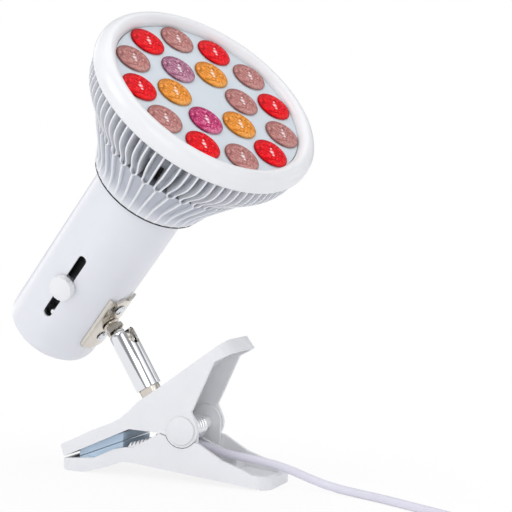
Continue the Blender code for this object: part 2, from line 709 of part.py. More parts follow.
def bushing_turn():
    """Turns Z along the cord's way out of the bushing."""
    return Matrix.Rotation(math.pi / 2 - BUSHING_SLOPE, 3, "Y")


def build_bulkhead(target, base):
    """The wall in the lower lever that the cord's bushing sits in."""
    box = [(0.0, BULKHEAD_FOOT), (-BULKHEAD_WALL, BULKHEAD_FOOT), (-BULKHEAD_WALL, -BULKHEAD_RISE),
           (0.0, -BULKHEAD_RISE)]
    across = [(b, a) for a, b in box]
    wall = prism("bulkhead", across, -INSIDE - GAP, INSIDE + GAP)
    combine(target, tool("bulkhead", wall, base, (-BUSHING_REACH, 0.0, -BUSHING_DROP), bushing_turn()),
            "UNION")
    bored(target, base, BUSHING_NECK_RADIUS + GAP, -2 * BULKHEAD_WALL, BULKHEAD_WALL, "bushing_bore",
          (-BUSHING_REACH, 0.0, -BUSHING_DROP), bushing_turn(), SMALL_SIDES)


def build_upper_lever(jaw, arm):
    slope = math.atan2(UPPER_HANDLE_RISE * (UPPER_BACK_SHARES[10][1] - UPPER_BACK_SHARES[9][1]),
                       UPPER_HANDLE_REACH * UPPER_BACK_SHARES[10][0]
                       - UPPER_JAW_REACH * UPPER_BACK_SHARES[9][0])
    end_x, end_z = upper_back()[10]
    far_end = end_x * math.cos(slope) + end_z * math.sin(slope)
    made = lever("upper_lever", upper_outline(), upper_back(), jaw, 1, slope, far_end)
    pad_ribs(made, jaw, PAD_THICKNESS + GAP, UPPER_PAD_RIB, "upper_pad_rib")
    boss = turned("boss", [(BOSS_RADIUS, -BOSS_TOP), (BOSS_RADIUS, -BOSS_BOTTOM)], MIDDLE_SIDES)
    combine(made, tool("collar_boss", boss, arm), "UNION")
    bored(made, arm, SHANK_RADIUS + GAP, -BOSS_BOTTOM - OVERRUN, -BOSS_TOP + OVERRUN, "collar_bore")
    bored(made, jaw, PIN_RADIUS + PIN_PLAY, -CLAMP_WIDTH, CLAMP_WIDTH, "upper_bore", turn=ALONG_Y)
    return made


def build_pivot(base, jaw):
    half = HALF_WIDTH - GAP
    pin = [(PIN_RADIUS, half), (PIN_RADIUS, -half)]
    piece("pivot_pin", turned("pivot_pin", pin, ROUND_SIDES), base, "spring_steel", turn=ALONG_Y)
    sleeve_half = INSIDE - GAP - LUG_THICKNESS - GAP
    bore = PIN_RADIUS + PIN_PLAY
    sleeve = [(SLEEVE_RADIUS, sleeve_half), (SLEEVE_RADIUS, -sleeve_half), (bore, -sleeve_half),
              (bore, sleeve_half)]
    piece("spring_sleeve", turned("spring_sleeve", sleeve, ROUND_SIDES, closed=True), base, "white_plastic",
          turn=ALONG_Y)
    for name, side in (("pivot_cap_near", -1), ("pivot_cap_far", 1)):
        low = HALF_WIDTH + GAP
        outline = [(CAP_RADIUS, low), (CAP_RADIUS, low + CAP_THICKNESS * CAP_WALL_SHARE),
                   (CAP_RADIUS * CAP_TOP_SHARE, low + CAP_THICKNESS),
                   (0.0, low + CAP_THICKNESS + CAP_DOME)]
        turn = Matrix.Rotation(-side * math.pi / 2, 3, "X")
        piece(name, turned(name, outline, MIDDLE_SIDES), jaw, "white_plastic", turn=turn)


def spring_points():
    """The torsion spring: upper leg, coil round the pivot, lower leg."""
    first = SPRING_UPPER_SLOPE + math.pi / 2
    last = SPRING_LOWER_SLOPE - math.pi / 2 + 2 * math.pi * (SPRING_TURNS + 1)
    count = round((last - first) / (2 * math.pi) * SPRING_POINTS_PER_TURN)
    points = []
    for i in range(count + 1):
        angle = first + (last - first) * i / count
        y = SPRING_START + SPRING_PITCH * (angle - first) / (2 * math.pi)
        points.append(Vector((SPRING_COIL_RADIUS * math.cos(angle), y, SPRING_COIL_RADIUS * math.sin(angle))))
    up = Vector((math.cos(SPRING_UPPER_SLOPE), 0.0, math.sin(SPRING_UPPER_SLOPE)))
    out = Vector((math.cos(SPRING_LOWER_SLOPE), 0.0, math.sin(SPRING_LOWER_SLOPE)))
    start = [points[0] + up * SPRING_UPPER_LEG, points[0] + up * SPRING_WIRE]
    end = [points[-1] + out * SPRING_WIRE, points[-1] + out * SPRING_LOWER_LEG]
    return start + points + end


def leg_height(x):
    """Height of the lower leg's middle at a distance from the pivot."""
    angle = SPRING_LOWER_SLOPE - math.pi / 2
    x0, z0 = SPRING_COIL_RADIUS * math.cos(angle), SPRING_COIL_RADIUS * math.sin(angle)
    return z0 + (x - x0) * math.tan(SPRING_LOWER_SLOPE)


def build_spring(base):
    points = spring_points()
    coil = points[2:-2]
    gap = least_gap(coil, SPRING_WIRE, 3 * SPRING_WIRE)
    print(f"torsion spring least gap to itself: {gap * 1000:.2f} mm")
    wire("torsion_spring", points, SPRING_WIRE / 2, base, "spring_steel", 1)


def build_arm(arm):
    """Swivel tube with its ball seat and plug, about the arm's axis, ball centre at the origin."""
    bottom = SWIVEL_TOP - SWIVEL_LENGTH
    seat = BALL_RADIUS + BALL_PLAY
    throat_angle = math.radians(32)
    shoulder = [(SWIVEL_RADIUS - SHOULDER_WIDTH + SHOULDER_WIDTH * math.sin(a),
                 SWIVEL_TOP - SHOULDER_HEIGHT + SHOULDER_HEIGHT * math.cos(a))
                for a in (0, math.pi / 6, math.pi / 3, math.pi / 2)]
    cup = [(seat * math.cos(a), seat * math.sin(a)) for a in (0, throat_angle / 2, throat_angle)]
    profile = [*shoulder, (SWIVEL_RADIUS, bottom), (SWIVEL_BORE, bottom),
               (SWIVEL_BORE, -BALL_RADIUS * CUP_START_SHARE), *cup[1:]]
    data = turned("swivel_tube", profile, MIDDLE_SIDES, closed=True)
    tube = piece("swivel_tube", data, arm, "chrome")
    floor = SWIVEL_TOP - NOTCH_DEPTH + NOTCH_WIDTH / 2
    notch = arc(NOTCH_WIDTH / 2, math.pi, 2 * math.pi, 8, (0.0, floor))
    notch += [(NOTCH_WIDTH / 2, SWIVEL_TOP + OVERRUN), (-NOTCH_WIDTH / 2, SWIVEL_TOP + OVERRUN)]
    notch_data = prism("notch", notch, 0.0, SWIVEL_RADIUS + OVERRUN, "YZ")
    combine(tube, tool("notch", notch_data, arm), "DIFFERENCE")
    outer = SWIVEL_BORE - GAP
    dish = math.sqrt(seat ** 2 - SEAT_TOP ** 2)
    low = math.asin(THREAD_BORE / seat)
    seat_outline = [(outer, -SEAT_TOP), (outer, -SEAT_BOTTOM), (THREAD_BORE, -SEAT_BOTTOM),
                    (THREAD_BORE, -seat * math.cos(low)), (dish, -SEAT_TOP)]
    piece("ball_seat", turned("ball_seat", seat_outline, ROUND_SIDES, closed=True), arm, "brass")
    top = SEAT_BOTTOM + GAP
    plug = [(outer, -top), (outer, -PLUG_BOTTOM), (THREAD_BORE, -PLUG_BOTTOM), (THREAD_BORE, -top)]
    piece("seat_plug", turned("seat_plug", plug, ROUND_SIDES, closed=True), arm, "zinc")


def flatted(radius, flat, height, segments=ROUND_SIDES):
    """A circle with two flats, as a ring of points."""
    points = []
    for point in circle(radius, height, segments):
        points.append(Vector((point.x, max(-flat, min(flat, point.y)), height)))
    return points


def build_collar(arm_fixed):
    """Collar that the swivel tube turns on, and the nut that holds it in the lever."""
    bottom = SWIVEL_LENGTH - SWIVEL_TOP
    top = bottom + GAP
    low = BOSS_TOP - GAP
    end = BOSS_BOTTOM + GAP + NUT_HEIGHT + SHANK_TAIL
    rings = [circle(COLLAR_SPIGOT, -bottom + COLLAR_SPIGOT_RISE), circle(COLLAR_SPIGOT, -top),
             flatted(COLLAR_RADIUS, COLLAR_FLAT, -top), flatted(COLLAR_RADIUS, COLLAR_FLAT, -low),
             circle(SHANK_RADIUS, -low), circle(SHANK_RADIUS, -end), circle(THREAD_BORE, -end),
             circle(THREAD_BORE, -bottom + COLLAR_SPIGOT_RISE)]
    piece("collar", lofted("collar", rings, closed=True), arm_fixed, "nickel")
    nut_top = BOSS_BOTTOM + GAP
    inside = SHANK_RADIUS + GAP
    heights = (-nut_top, -nut_top - NUT_HEIGHT)
    rings = [hexagon(NUT_HALF_WIDTH, z, SMALL_SIDES) for z in heights]
    rings += [circle(inside, z, SMALL_SIDES) for z in reversed(heights)]
    piece("collar_nut", lofted("collar_nut", rings, closed=True), arm_fixed, "zinc")


def build_stud(stud):
    """Ball stud, hollow, from the ball to its end inside the tube housing."""
    washer_end = WASHER_START + WASHER_THICKNESS
    washer = [(WASHER_RADIUS, washer_end), (WASHER_RADIUS, WASHER_START), (WASHER_BORE, WASHER_START),
              (WASHER_BORE, washer_end)]
    tilt = stud.parent
    piece("neck_washer", turned("neck_washer", washer, ROUND_SIDES, closed=True), tilt, "zinc")
    plate = BALL_TO_AXIS - TUBE_RADIUS - GAP - BRACKET_WALL
    flange_top = plate - GAP
    tail = BALL_TO_AXIS - TUBE_RADIUS + TUBE_WALL + STUD_TAIL
    start = math.asin(STUD_BORE / BALL_RADIUS)
    neck = math.asin(NECK_RADIUS / BALL_RADIUS)
    steps = 5
    angles = [start + (math.pi - neck - start) * i / steps for i in range(steps + 1)]
    lower = [(BALL_RADIUS * math.sin(a), -BALL_RADIUS * math.cos(a)) for a in angles]
    lower.append((NECK_RADIUS, HEX_START - HEX_CHAMFER))
    upper = [(HEX_HALF_WIDTH * HEX_TOP_SHARE, HEX_END + GAP),
             (FLANGE_RADIUS, flange_top - FLANGE_HEIGHT * FLANGE_EDGE_SHARE),
             (FLANGE_RADIUS, flange_top), (STUD_RADIUS, flange_top), (STUD_RADIUS, tail), (STUD_BORE, tail)]
    rings = [circle(r, z, MIDDLE_SIDES) for r, z in lower]
    rings += [hexagon(HEX_HALF_WIDTH, z, MIDDLE_SIDES) for z in (HEX_START, HEX_END)]
    rings += [circle(r, z, MIDDLE_SIDES) for r, z in upper]
    piece("ball_stud", lofted("ball_stud", rings, closed=True), stud, "nickel")


def radial(angle, place):
    """A frame on the tube's axis at a height, with its Z pointing outward at an angle."""
    turn = Matrix.Rotation(angle, 3, "Z") @ Matrix.Rotation(math.pi / 2, 3, "Y")
    return Matrix.Translation((0.0, 0.0, -place)) @ turn.to_4x4()


def build_tube(lamp):
    end_angles = [math.pi / 2 * i / 3 for i in range(4)]
    inner = TUBE_RADIUS - TUBE_WALL
    centre = TUBE_END - TUBE_END_ROUND
    outside = [(TUBE_RADIUS - TUBE_END_ROUND * (1 - math.cos(a)), -centre - TUBE_END_ROUND * math.sin(a))
               for a in end_angles]
    inside_round = TUBE_END_ROUND - TUBE_WALL
    inside = [(inner - inside_round * (1 - math.cos(a)), -centre - inside_round * math.sin(a))
              for a in reversed(end_angles)]
    outline = [(TUBE_RADIUS, -TUBE_MOUTH), *outside, (0.0, -TUBE_END)]
    rings = [circle(r, z, TUBE_SIDES) for r, z in outline]
    hollow = [(0.0, -TUBE_END + TUBE_WALL), *inside, (inner, -TUBE_MOUTH)]
    inner_rings = [circle(r, z, TUBE_SIDES) for r, z in hollow]
    made = piece("tube_housing", shell_of("tube_housing", rings, inner_rings), lamp, "tube_enamel")
    half = SLOT_WIDTH / 2
    slot = arc(half, 0, math.pi, 6, (0.0, -SLOT_TOP - half))
    slot += arc(half, math.pi, 2 * math.pi, 6, (0.0, -SLOT_BOTTOM + half))
    slot_data = prism("slot", slot, inner - OVERRUN, TUBE_RADIUS + OVERRUN, "YZ")
    slot_tool = tool("slot", slot_data, lamp, turn=Matrix.Rotation(SLOT_TURN, 3, "Z"))
    combine(made, slot_tool, "DIFFERENCE")
    bored_radially(made, lamp, STUD_RADIUS + GAP, 0.0, STUD_PLACE, "stud_hole")
    for k, place in enumerate(SCREW_PLACES):
        bored_radially(made, lamp, SCREW_RADIUS + GAP, BRACKET_TURN, place, f"tube_screw_hole_{k}",
                       SMALL_SIDES)
    return made


def shell_of(name, outer, inner):
    """A cup from outer rings, mouth first, and inner rings, mouth last. Both have a tip on the axis."""
    grid = bmesh.new()
    loops = [[grid.verts.new(p) for p in ring] for ring in outer + inner]
    joint = len(outer)
    for k, (lower, upper) in enumerate(zip(loops, loops[1:] + loops[:1])):
        if k == joint - 1:
            continue
        count = max(len(lower), len(upper))
        for i in range(count):
            j = (i + 1) % count
            if len(lower) == 1:
                grid.faces.new((lower[0], upper[i], upper[j]))
            elif len(upper) == 1:
                grid.faces.new((lower[j], lower[i], upper[0]))
            else:
                grid.faces.new((lower[j], lower[i], upper[i], upper[j]))
    return finished(name, grid, SMOOTH)


def bored_radially(target, lamp, radius, angle, place, name, segments=ROUND_SIDES):
    """Cuts a hole through the tube's wall or plate at an angle and height."""
    low, high = TUBE_RADIUS / 2, TUBE_RADIUS + BRACKET_WALL + OVERRUN
    data = turned(name, [(radius, high), (radius, low)], segments)
    made = tool(name, data, lamp)
    made.matrix_local = radial(angle, place)
    combine(target, made, "DIFFERENCE")


def build_bracket(lamp):
    """Plate that hugs the tube round the stud, with its two screws."""
    inner = TUBE_RADIUS + GAP
    outer = inner + BRACKET_WALL
    ring = [(outer, -BRACKET_TOP + OVERRUN), (outer, -BRACKET_BOTTOM - OVERRUN),
            (inner, -BRACKET_BOTTOM - OVERRUN), (inner, -BRACKET_TOP + OVERRUN)]
    made = piece("bracket_plate", turned("bracket_plate", ring, LARGE_SIDES, closed=True), lamp, "nickel")
    half = BRACKET_WIDTH / 2
    corner = BRACKET_CORNER
    low = arc(corner, math.pi, 1.5 * math.pi, 3, (-half + corner, -BRACKET_BOTTOM + corner))
    low += arc(corner, 1.5 * math.pi, 2 * math.pi, 3, (half - corner, -BRACKET_BOTTOM + corner))
    waves = []
    for i in range(BRACKET_STEPS + 1):
        share = 1 - 2 * i / BRACKET_STEPS
        dip = BRACKET_DIP * 0.5 * (1 + math.cos(2 * math.pi * share))
        waves.append((half * share, -BRACKET_TOP - BRACKET_DIP + dip))
    plan = prism("bracket_plan", low + waves, inner / 2, outer + OVERRUN, "YZ")
    plan_tool = tool("bracket_plan", plan, lamp, turn=Matrix.Rotation(BRACKET_TURN, 3, "Z"))
    combine(made, plan_tool, "INTERSECT")
    bored_radially(made, lamp, STUD_RADIUS + GAP, 0.0, STUD_PLACE, "bracket_stud_hole")
    for k, place in enumerate(SCREW_PLACES):
        bored_radially(made, lamp, SCREW_RADIUS + GAP, BRACKET_TURN, place, f"bracket_screw_hole_{k}",
                       SMALL_SIDES)
    keyhole = arc(KEYHOLE_WIDTH / 2, 0, math.pi, 4, (-KEYHOLE_SIDE, -KEYHOLE_PLACE))
    keyhole += arc(KEYHOLE_WIDTH / 2, math.pi, 2 * math.pi, 4,
                   (-KEYHOLE_SIDE, -KEYHOLE_PLACE - KEYHOLE_LENGTH + KEYHOLE_WIDTH))
    keyhole_data = prism("keyhole", keyhole, inner / 2, outer + OVERRUN, "YZ")
    combine(made, tool("keyhole", keyhole_data, lamp, turn=Matrix.Rotation(BRACKET_TURN, 3, "Z")),
            "DIFFERENCE")
    for name, place in zip(("bracket_screw_upper", "bracket_screw_lower"), SCREW_PLACES):
        seat = outer + GAP
        dome = [(0.0, seat + SCREW_HEAD_HEIGHT)]
        for a in (math.pi / 4, math.pi / 2.1):
            dome.append((SCREW_HEAD_RADIUS * math.sin(a), seat + SCREW_HEAD_HEIGHT * math.cos(a)))
        tail = TUBE_RADIUS - TUBE_WALL - SCREW_TAIL
        outline = [*dome, (SCREW_HEAD_RADIUS, seat), (SCREW_RADIUS, seat), (SCREW_RADIUS, tail), (0.0, tail)]
        screw = piece(name, turned(name, outline, SMALL_SIDES), lamp, "zinc")
        screw.matrix_local = radial(BRACKET_TURN, place)


def build_knob(lamp):
    """Height knob: fluted disc on a stud through the tube's slot into the slide nut."""
    low = TUBE_RADIUS + KNOB_LIFT
    high = low + KNOB_THICKNESS
    deep = SOCKET_RADIUS + 2 * GAP
    count = 2 * KNOB_FLUTES

    def fluted(height, inset):
        ring = []
        for i, point in enumerate(circle(1.0, 0.0, count)):
            radius = KNOB_RADIUS - inset - (KNOB_FLUTE_DEPTH if i % 2 else 0.0)
            ring.append(Vector((point.x * radius, point.y * radius, height)))
        return ring

    rings = [circle(0.0, high, count), fluted(high, 2 * KNOB_CHAMFER), fluted(high - KNOB_CHAMFER, 0.0),
             fluted(low, 0.0), circle(KNOB_STUD_RADIUS, low, count), circle(KNOB_STUD_RADIUS, deep, count),
             circle(0.0, deep, count)]
    knob = frame("Knob_axis", lamp)
    knob.matrix_local = radial(SLOT_TURN, KNOB_PLACE)
    piece("height_knob", lofted("height_knob", rings), knob, "white_gloss")


def build_socket(slide):
    """Lamp holder: body, threaded shell, centre contact and the nut that the knob screws into."""
    bore = SHELL_RADIUS + SOCKET_BORE_PLAY
    floor = SOCKET_FLOOR
    outside = [(SOCKET_RADIUS, -SOCKET_TOP), (SOCKET_RADIUS, -SOCKET_BOTTOM), (0.0, -SOCKET_BOTTOM)]
    rings = [circle(r, z) for r, z in outside]
    inner = [circle(r, z) for r, z in [(0.0, -floor), (bore, -floor), (bore, -SOCKET_TOP)]]
    piece("socket_body", shell_of("socket_body", rings, inner), slide, "black_plastic")
    inside = SHELL_RADIUS - SHELL_WALL
    shell = [(SHELL_RADIUS, -SHELL_TOP), (SHELL_RADIUS, -SHELL_BOTTOM), (inside, -SHELL_BOTTOM),
             (inside, -SHELL_TOP)]
    piece("socket_shell", turned("socket_shell", shell, ROUND_SIDES, closed=True), slide, "brass")
    contact_top = TIP_BOTTOM + GAP
    contact = [(0.0, -contact_top), (CONTACT_RADIUS, -contact_top), (CONTACT_RADIUS, -floor + GAP),
               (0.0, -floor + GAP)]
    piece("socket_contact", turned("socket_contact", contact, SMALL_SIDES), slide, "brass")
    half = NUT_PLATE_WIDTH / 2
    tall = NUT_PLATE_HEIGHT / 2
    box = [(-tall, -half), (tall, -half), (tall, half), (-tall, half)]
    nut = piece("slide_nut", prism("slide_nut", box, SOCKET_RADIUS + GAP, NUT_PLATE_OUTER, "XY"), slide,
                "zinc")
    nut.matrix_local = radial(SLOT_TURN, KNOB_PLACE)
    bore_data = turned("nut_bore", [(KNOB_STUD_RADIUS + GAP, NUT_PLATE_OUTER + OVERRUN),
                                    (KNOB_STUD_RADIUS + GAP, SOCKET_RADIUS - OVERRUN)], ROUND_SIDES)
    bore_tool = tool("nut_bore", bore_data, slide)
    bore_tool.matrix_local = radial(SLOT_TURN, KNOB_PLACE)
    combine(nut, bore_tool, "DIFFERENCE")


def build_cap(carrier, bulb):
    """The lamp's screw cap: threaded shell, insulator, tip contact and driver housing."""
    depth = CAP_THREAD_DEPTH
    outer = [(CAP_THREAD_RADIUS, -CAP_TOP)]
    start = CAP_TOP + (CAP_BOTTOM - CAP_TOP - CAP_THREAD_TURNS * CAP_THREAD_PITCH) / 2
    for k in range(CAP_THREAD_TURNS):
        z = start + CAP_THREAD_PITCH * k
        outer += [(CAP_THREAD_RADIUS - depth, -z), (CAP_THREAD_RADIUS, -z - CAP_THREAD_PITCH / 2)]
    outer += [(CAP_THREAD_RADIUS - depth, -start - CAP_THREAD_TURNS * CAP_THREAD_PITCH),
              (CAP_THREAD_RADIUS - 2 * depth, -CAP_BOTTOM)]
    inside = CAP_THREAD_RADIUS - depth - CAP_WALL
    rings = [*outer, (inside - depth, -CAP_BOTTOM), (inside, -CAP_TOP)]
    piece("cap_shell", turned("cap_shell", rings, ROUND_SIDES, closed=True), bulb, "zinc")
    lip = CAP_THREAD_RADIUS - 2 * depth
    insulator = [(lip, -CAP_BOTTOM - GAP), (TIP_RADIUS + depth, -INSULATOR_BOTTOM), (0.0, -INSULATOR_BOTTOM)]
    data = turned("cap_insulator", [(0.0, -CAP_BOTTOM - GAP), *insulator], ROUND_SIDES)
    piece("cap_insulator", data, carrier, "glass_insulator")
    tip = [(0.0, -INSULATOR_BOTTOM - GAP), (TIP_RADIUS, -INSULATOR_BOTTOM - GAP),
           (TIP_RADIUS * TIP_END_SHARE, -TIP_BOTTOM), (0.0, -TIP_BOTTOM)]
    piece("tip_contact", turned("tip_contact", tip, SMALL_SIDES), bulb, "zinc")
    driver = [(0.0, -DRIVER_TOP), (DRIVER_RADIUS, -DRIVER_TOP), (DRIVER_RADIUS, -DRIVER_SHOULDER),
              (CAP_THREAD_RADIUS + depth, -CAP_TOP + GAP), (0.0, -CAP_TOP + GAP)]
    piece("driver_housing", turned("driver_housing", driver, MIDDLE_SIDES), bulb, "white_plastic")


def build_heat_sink(bulb):
    """Finned ring with open vents between its units, over a ribbed bell."""
    rings = []
    pitch = 2 * math.pi / UNIT_COUNT
    height = FIN_BOTTOM - FIN_TOP
    for share, tip, valley, root in FIN_STATION_SHARES:
        reach = {"tip": tip * FIN_RADIUS, "valley": valley * FIN_RADIUS, "root": root * FIN_RADIUS}
        ring = []
        for unit in range(UNIT_COUNT):
            for angle_share, kind in zip(FIN_ANGLE_SHARES, FIN_KIND):
                angle = UNIT_TURN + (unit + angle_share) * pitch
                ring.append(Vector((reach[kind] * math.cos(angle), reach[kind] * math.sin(angle),
                                    -FIN_TOP - height * share)))
        rings.append(ring)
    fins = piece("heat_sink_fins", lofted("heat_sink_fins", rings, smooth_angle=math.radians(30)), bulb,
                 "sink_enamel")
    core = turned("sink_core", [(SINK_BORE, -FIN_TOP + OVERRUN), (SINK_BORE, -FIN_BOTTOM - OVERRUN)],
                  UNIT_COUNT)
    combine(fins, tool("sink_core", core, bulb), "DIFFERENCE")

    height = BELL_BOTTOM - BELL_TOP
    rings = []
    for share, rib, valley in BELL_STATION_SHARES:
        ring = []
        for unit in range(UNIT_COUNT):
            for angle_share, radius in zip(RIB_ANGLE_SHARES, (valley, rib, valley)):
                angle = UNIT_TURN + (unit + angle_share) * pitch
                ring.append(Vector((radius * BELL_RADIUS * math.cos(angle),
                                    radius * BELL_RADIUS * math.sin(angle), -BELL_TOP - height * share)))
        rings.append(ring)
    bell = piece("heat_sink_bell", lofted("heat_sink_bell", rings, smooth_angle=math.radians(30)), bulb,
                 "sink_enamel")
    hollow = [(BELL_STATION_SHARES[0][2] * BELL_RADIUS - BELL_WALL, -BELL_TOP + OVERRUN)]
    for share, rib, valley in BELL_STATION_SHARES:
        hollow.append((valley * BELL_RADIUS - BELL_WALL, -BELL_TOP - height * share))
    below = [(hollow[-1][0], -BELL_BOTTOM - OVERRUN)]
    data = turned("bell_hollow", hollow[:2] + hollow[3:5] + below, MIDDLE_SIDES)
    combine(bell, tool("bell_hollow", data, bulb), "DIFFERENCE")


def build_face(bulb):
    """Bezel, face plate, light board and lenses."""
    lip = BEZEL_OPENING
    width = BEZEL_RADIUS - lip
    outline = [(lip + width * across, share * (BEZEL_BACK if share < 0 else BEZEL_FRONT))
               for across, share in BEZEL_SHARES]
    piece("bezel", turned("bezel", outline, LARGE_SIDES, closed=True), bulb, "white_gloss")
    plate = lip - GAP
    back = -FACE_DROP - FACE_THICKNESS
    disc = [(0.0, -FACE_DROP), (plate, -FACE_DROP), (plate, back), (0.0, back)]
    piece("face_plate", turned("face_plate", disc, LARGE_SIDES), bulb, "face_white")
    top = -BOARD_DROP
    board = [(0.0, top), (BOARD_RADIUS, top), (BOARD_RADIUS, top - BOARD_THICKNESS),
             (0.0, top - BOARD_THICKNESS)]
    piece("led_board", turned("led_board", board, MIDDLE_SIDES), bulb, "board_green")
    rings = (("outer", OUTER_LENS_COUNT, OUTER_RING_RADIUS, OUTER_LENS_FINISHES),
             ("inner", INNER_LENS_COUNT, INNER_RING_RADIUS, INNER_LENS_FINISHES))
    for ring, count, radius, finishes in rings:
        for k in range(count):
            angle = LENS_TURN - 2 * math.pi * k / count
            name = f"lens_{ring}_{k + 1:02d}"
            place = (radius * math.cos(angle), radius * math.sin(angle), GAP - FACE_DROP)
            dome = [(LENS_RADIUS * out, LENS_RISE * up) for out, up in LENS_SHARES]
            piece(name, turned(name, dome, LENS_SIDES), bulb, finishes[k % len(finishes)], place)


def cord_floor():
    return -PIVOT_HEIGHT + CORD_DIAMETER / 2


def coil_points():
    """The wound cord: it spirals in and out at a steady rate and climbs a layer where it reverses."""
    per_layer = COIL_TURNS_PER_LAYER
    spread = COIL_PITCH * per_layer
    outer = COIL_MEAN_RADIUS + spread / 2
    total = per_layer * COIL_LAYERS
    lift = TIE_THICKNESS + TIE_PLAY
    count = round(total * COIL_POINTS_PER_TURN)
    points = []
    for i in range(count + 1):
        turn = total * i / count
        phase = turn % (2 * per_layer)
        inward = phase if phase <= per_layer else 2 * per_layer - phase
        radius = outer - COIL_PITCH * inward
        layer = 0.0
        for k in range(1, COIL_LAYERS):
            layer += max(0.0, min(1.0, (turn - k * per_layer) / 0.5 + 0.5))
        angle = COIL_START_ANGLE + 2 * math.pi * turn
        points.append(Vector((COIL_CENTRE[0] + radius * math.cos(angle),
                              COIL_CENTRE[1] + radius * math.sin(angle),
                              cord_floor() + lift + COIL_PITCH * layer)))
    return points


def straight_ended(points, length):
    """Points with a straight piece of the given length before the first and after the last."""
    first, last = points[0], points[-1]
    start = first - (points[1] - first).normalized() * length
    end = last + (last - points[-2]).normalized() * length
    return [start, *points, end]


def build_cord(base):
    """Bushing, free cord, coil with its tie, tail and plug. The cord's points lie in the clamp frame."""
    outline = [(0.0, BUSHING_LENGTH), (BUSHING_TIP_RADIUS, BUSHING_LENGTH), (BUSHING_ROOT_RADIUS, GAP),
               (BUSHING_NECK_RADIUS, GAP), (BUSHING_NECK_RADIUS, -BULKHEAD_WALL), (0.0, -BULKHEAD_WALL)]
    piece("cord_bushing", turned("cord_bushing", outline, ROUND_SIDES), base, "cord_white",
          (-BUSHING_REACH, 0.0, -BUSHING_DROP), bushing_turn())
    radius = CORD_DIAMETER / 2
    coil = straight_ended(coil_points(), CORD_DIAMETER)
    gap = least_gap(coil, CORD_DIAMETER, 3 * CORD_DIAMETER)
    into_coil = (coil[1] - coil[0]).normalized()
    out_of_coil = (coil[-1] - coil[-2]).normalized()
    print(f"wound cord least gap to itself: {gap * 1000:.2f} mm")
    before = coil[0] - into_coil * GAP
    leaves = bushing_turn() @ Vector((0.0, 0.0, 1.0))
    start = Vector((-BUSHING_REACH, 0.0, -BUSHING_DROP)) + leaves * (BUSHING_LENGTH + GAP)
    route = [start + leaves * CORD_LEAD, *map(Vector, CORD_ROUTE), before - into_coil * 2 * CORD_DIAMETER,
             before - into_coil * CORD_LEAD]
    free = [start, *smooth_curve(route, CORD_STEP), before]
    wire("cord_free", free, radius, base, "cord_white", 2)
    wire("cord_coil", coil, radius, base, "cord_white", 1)

    after = coil[-1] + out_of_coil * GAP
    place = Vector((*PLUG_PLACE, -PIVOT_HEIGHT + PLUG_HEIGHT / 2))
    turn = Matrix.Rotation(PLUG_TURN, 3, "Z")
    plug = frame("Plug_axis", base, place, turn)
    relief_tip = place + turn @ Vector((-RELIEF_LENGTH - GAP, 0.0, 0.0))
    backward = turn @ Vector((-1.0, 0.0, 0.0))
    route = [after + out_of_coil * CORD_LEAD, after + out_of_coil * 2 * CORD_DIAMETER,
             relief_tip + backward * 2 * CORD_DIAMETER, relief_tip + backward * CORD_LEAD]
    tail = [after, *smooth_curve(route, CORD_STEP), relief_tip]
    wire("cord_tail", tail, radius, base, "cord_white", 2)
    total = line_length(free) + line_length(coil) + line_length(tail)
    print(f"cord length: {total:.3f} m of {CORD_LENGTH} m")
    build_tie(base)
    build_plug(plug)


def build_tie(base):
    """A strap round the coil's bundle."""
    spread = COIL_PITCH * COIL_TURNS_PER_LAYER
    half_wide = spread / 2 + CORD_DIAMETER / 2 + TIE_PLAY
    low = -PIVOT_HEIGHT + TIE_THICKNESS
    top_layer = cord_floor() + TIE_THICKNESS + TIE_PLAY + COIL_PITCH * (COIL_LAYERS - 1)
    high = top_layer + CORD_DIAMETER / 2 + TIE_PLAY
    middle = (low + high) / 2
    half_tall = (high - low) / 2
    rings = []
    for y in (-TIE_WIDTH / 2, TIE_WIDTH / 2):
        for extra in ((0.0, TIE_THICKNESS) if y < 0 else (TIE_THICKNESS, 0.0)):
            corner = CORD_DIAMETER / 2 + extra
            outline = rounded_box(half_wide + extra, half_tall + extra, corner)
            rings.append([Vector((COIL_MEAN_RADIUS + a, y, middle + b)) for a, b in outline])
    data = lofted("cord_tie", rings, closed=True)
    turn = Matrix.Rotation(TIE_ANGLE, 3, "Z")
    piece("cord_tie", data, base, "tie_black", (*COIL_CENTRE, 0.0), turn)


def build_plug(plug):
    """A flat two-pin plug with a tapered strain relief."""
    body = prism("plug_body", rounded_box(PLUG_HEIGHT / 2, PLUG_WIDTH / 2, PLUG_CORNER, 5), 0.0, PLUG_LENGTH,
                 "XY")
    made = piece("plug_body", body, plug, "cord_white", turn=Matrix.Rotation(math.pi / 2, 3, "Y"))
    relief = turned("plug_relief", [(RELIEF_ROOT_RADIUS, OVERRUN), (CORD_DIAMETER / 2 + GAP, -RELIEF_LENGTH)],
                    ROUND_SIDES)
    relief_tool = tool("plug_relief", relief, plug, turn=Matrix.Rotation(math.pi / 2, 3, "Y"))
    combine(made, relief_tool, "UNION")
    for k, side in enumerate((-1, 1)):
        pin = [(0.0, PLUG_PIN_LENGTH), (PLUG_PIN_RADIUS * PLUG_PIN_TIP_SHARE, PLUG_PIN_LENGTH),
               (PLUG_PIN_RADIUS, PLUG_PIN_LENGTH - PLUG_PIN_RADIUS), (PLUG_PIN_RADIUS, 0.0), (0.0, 0.0)]
        name = f"plug_pin_{k + 1}"
        place = (PLUG_LENGTH + GAP, side * PLUG_PIN_SPACING / 2, 0.0)
        piece(name, turned(name, pin, SMALL_SIDES), plug, "zinc", place, Matrix.Rotation(math.pi / 2, 3, "Y"))


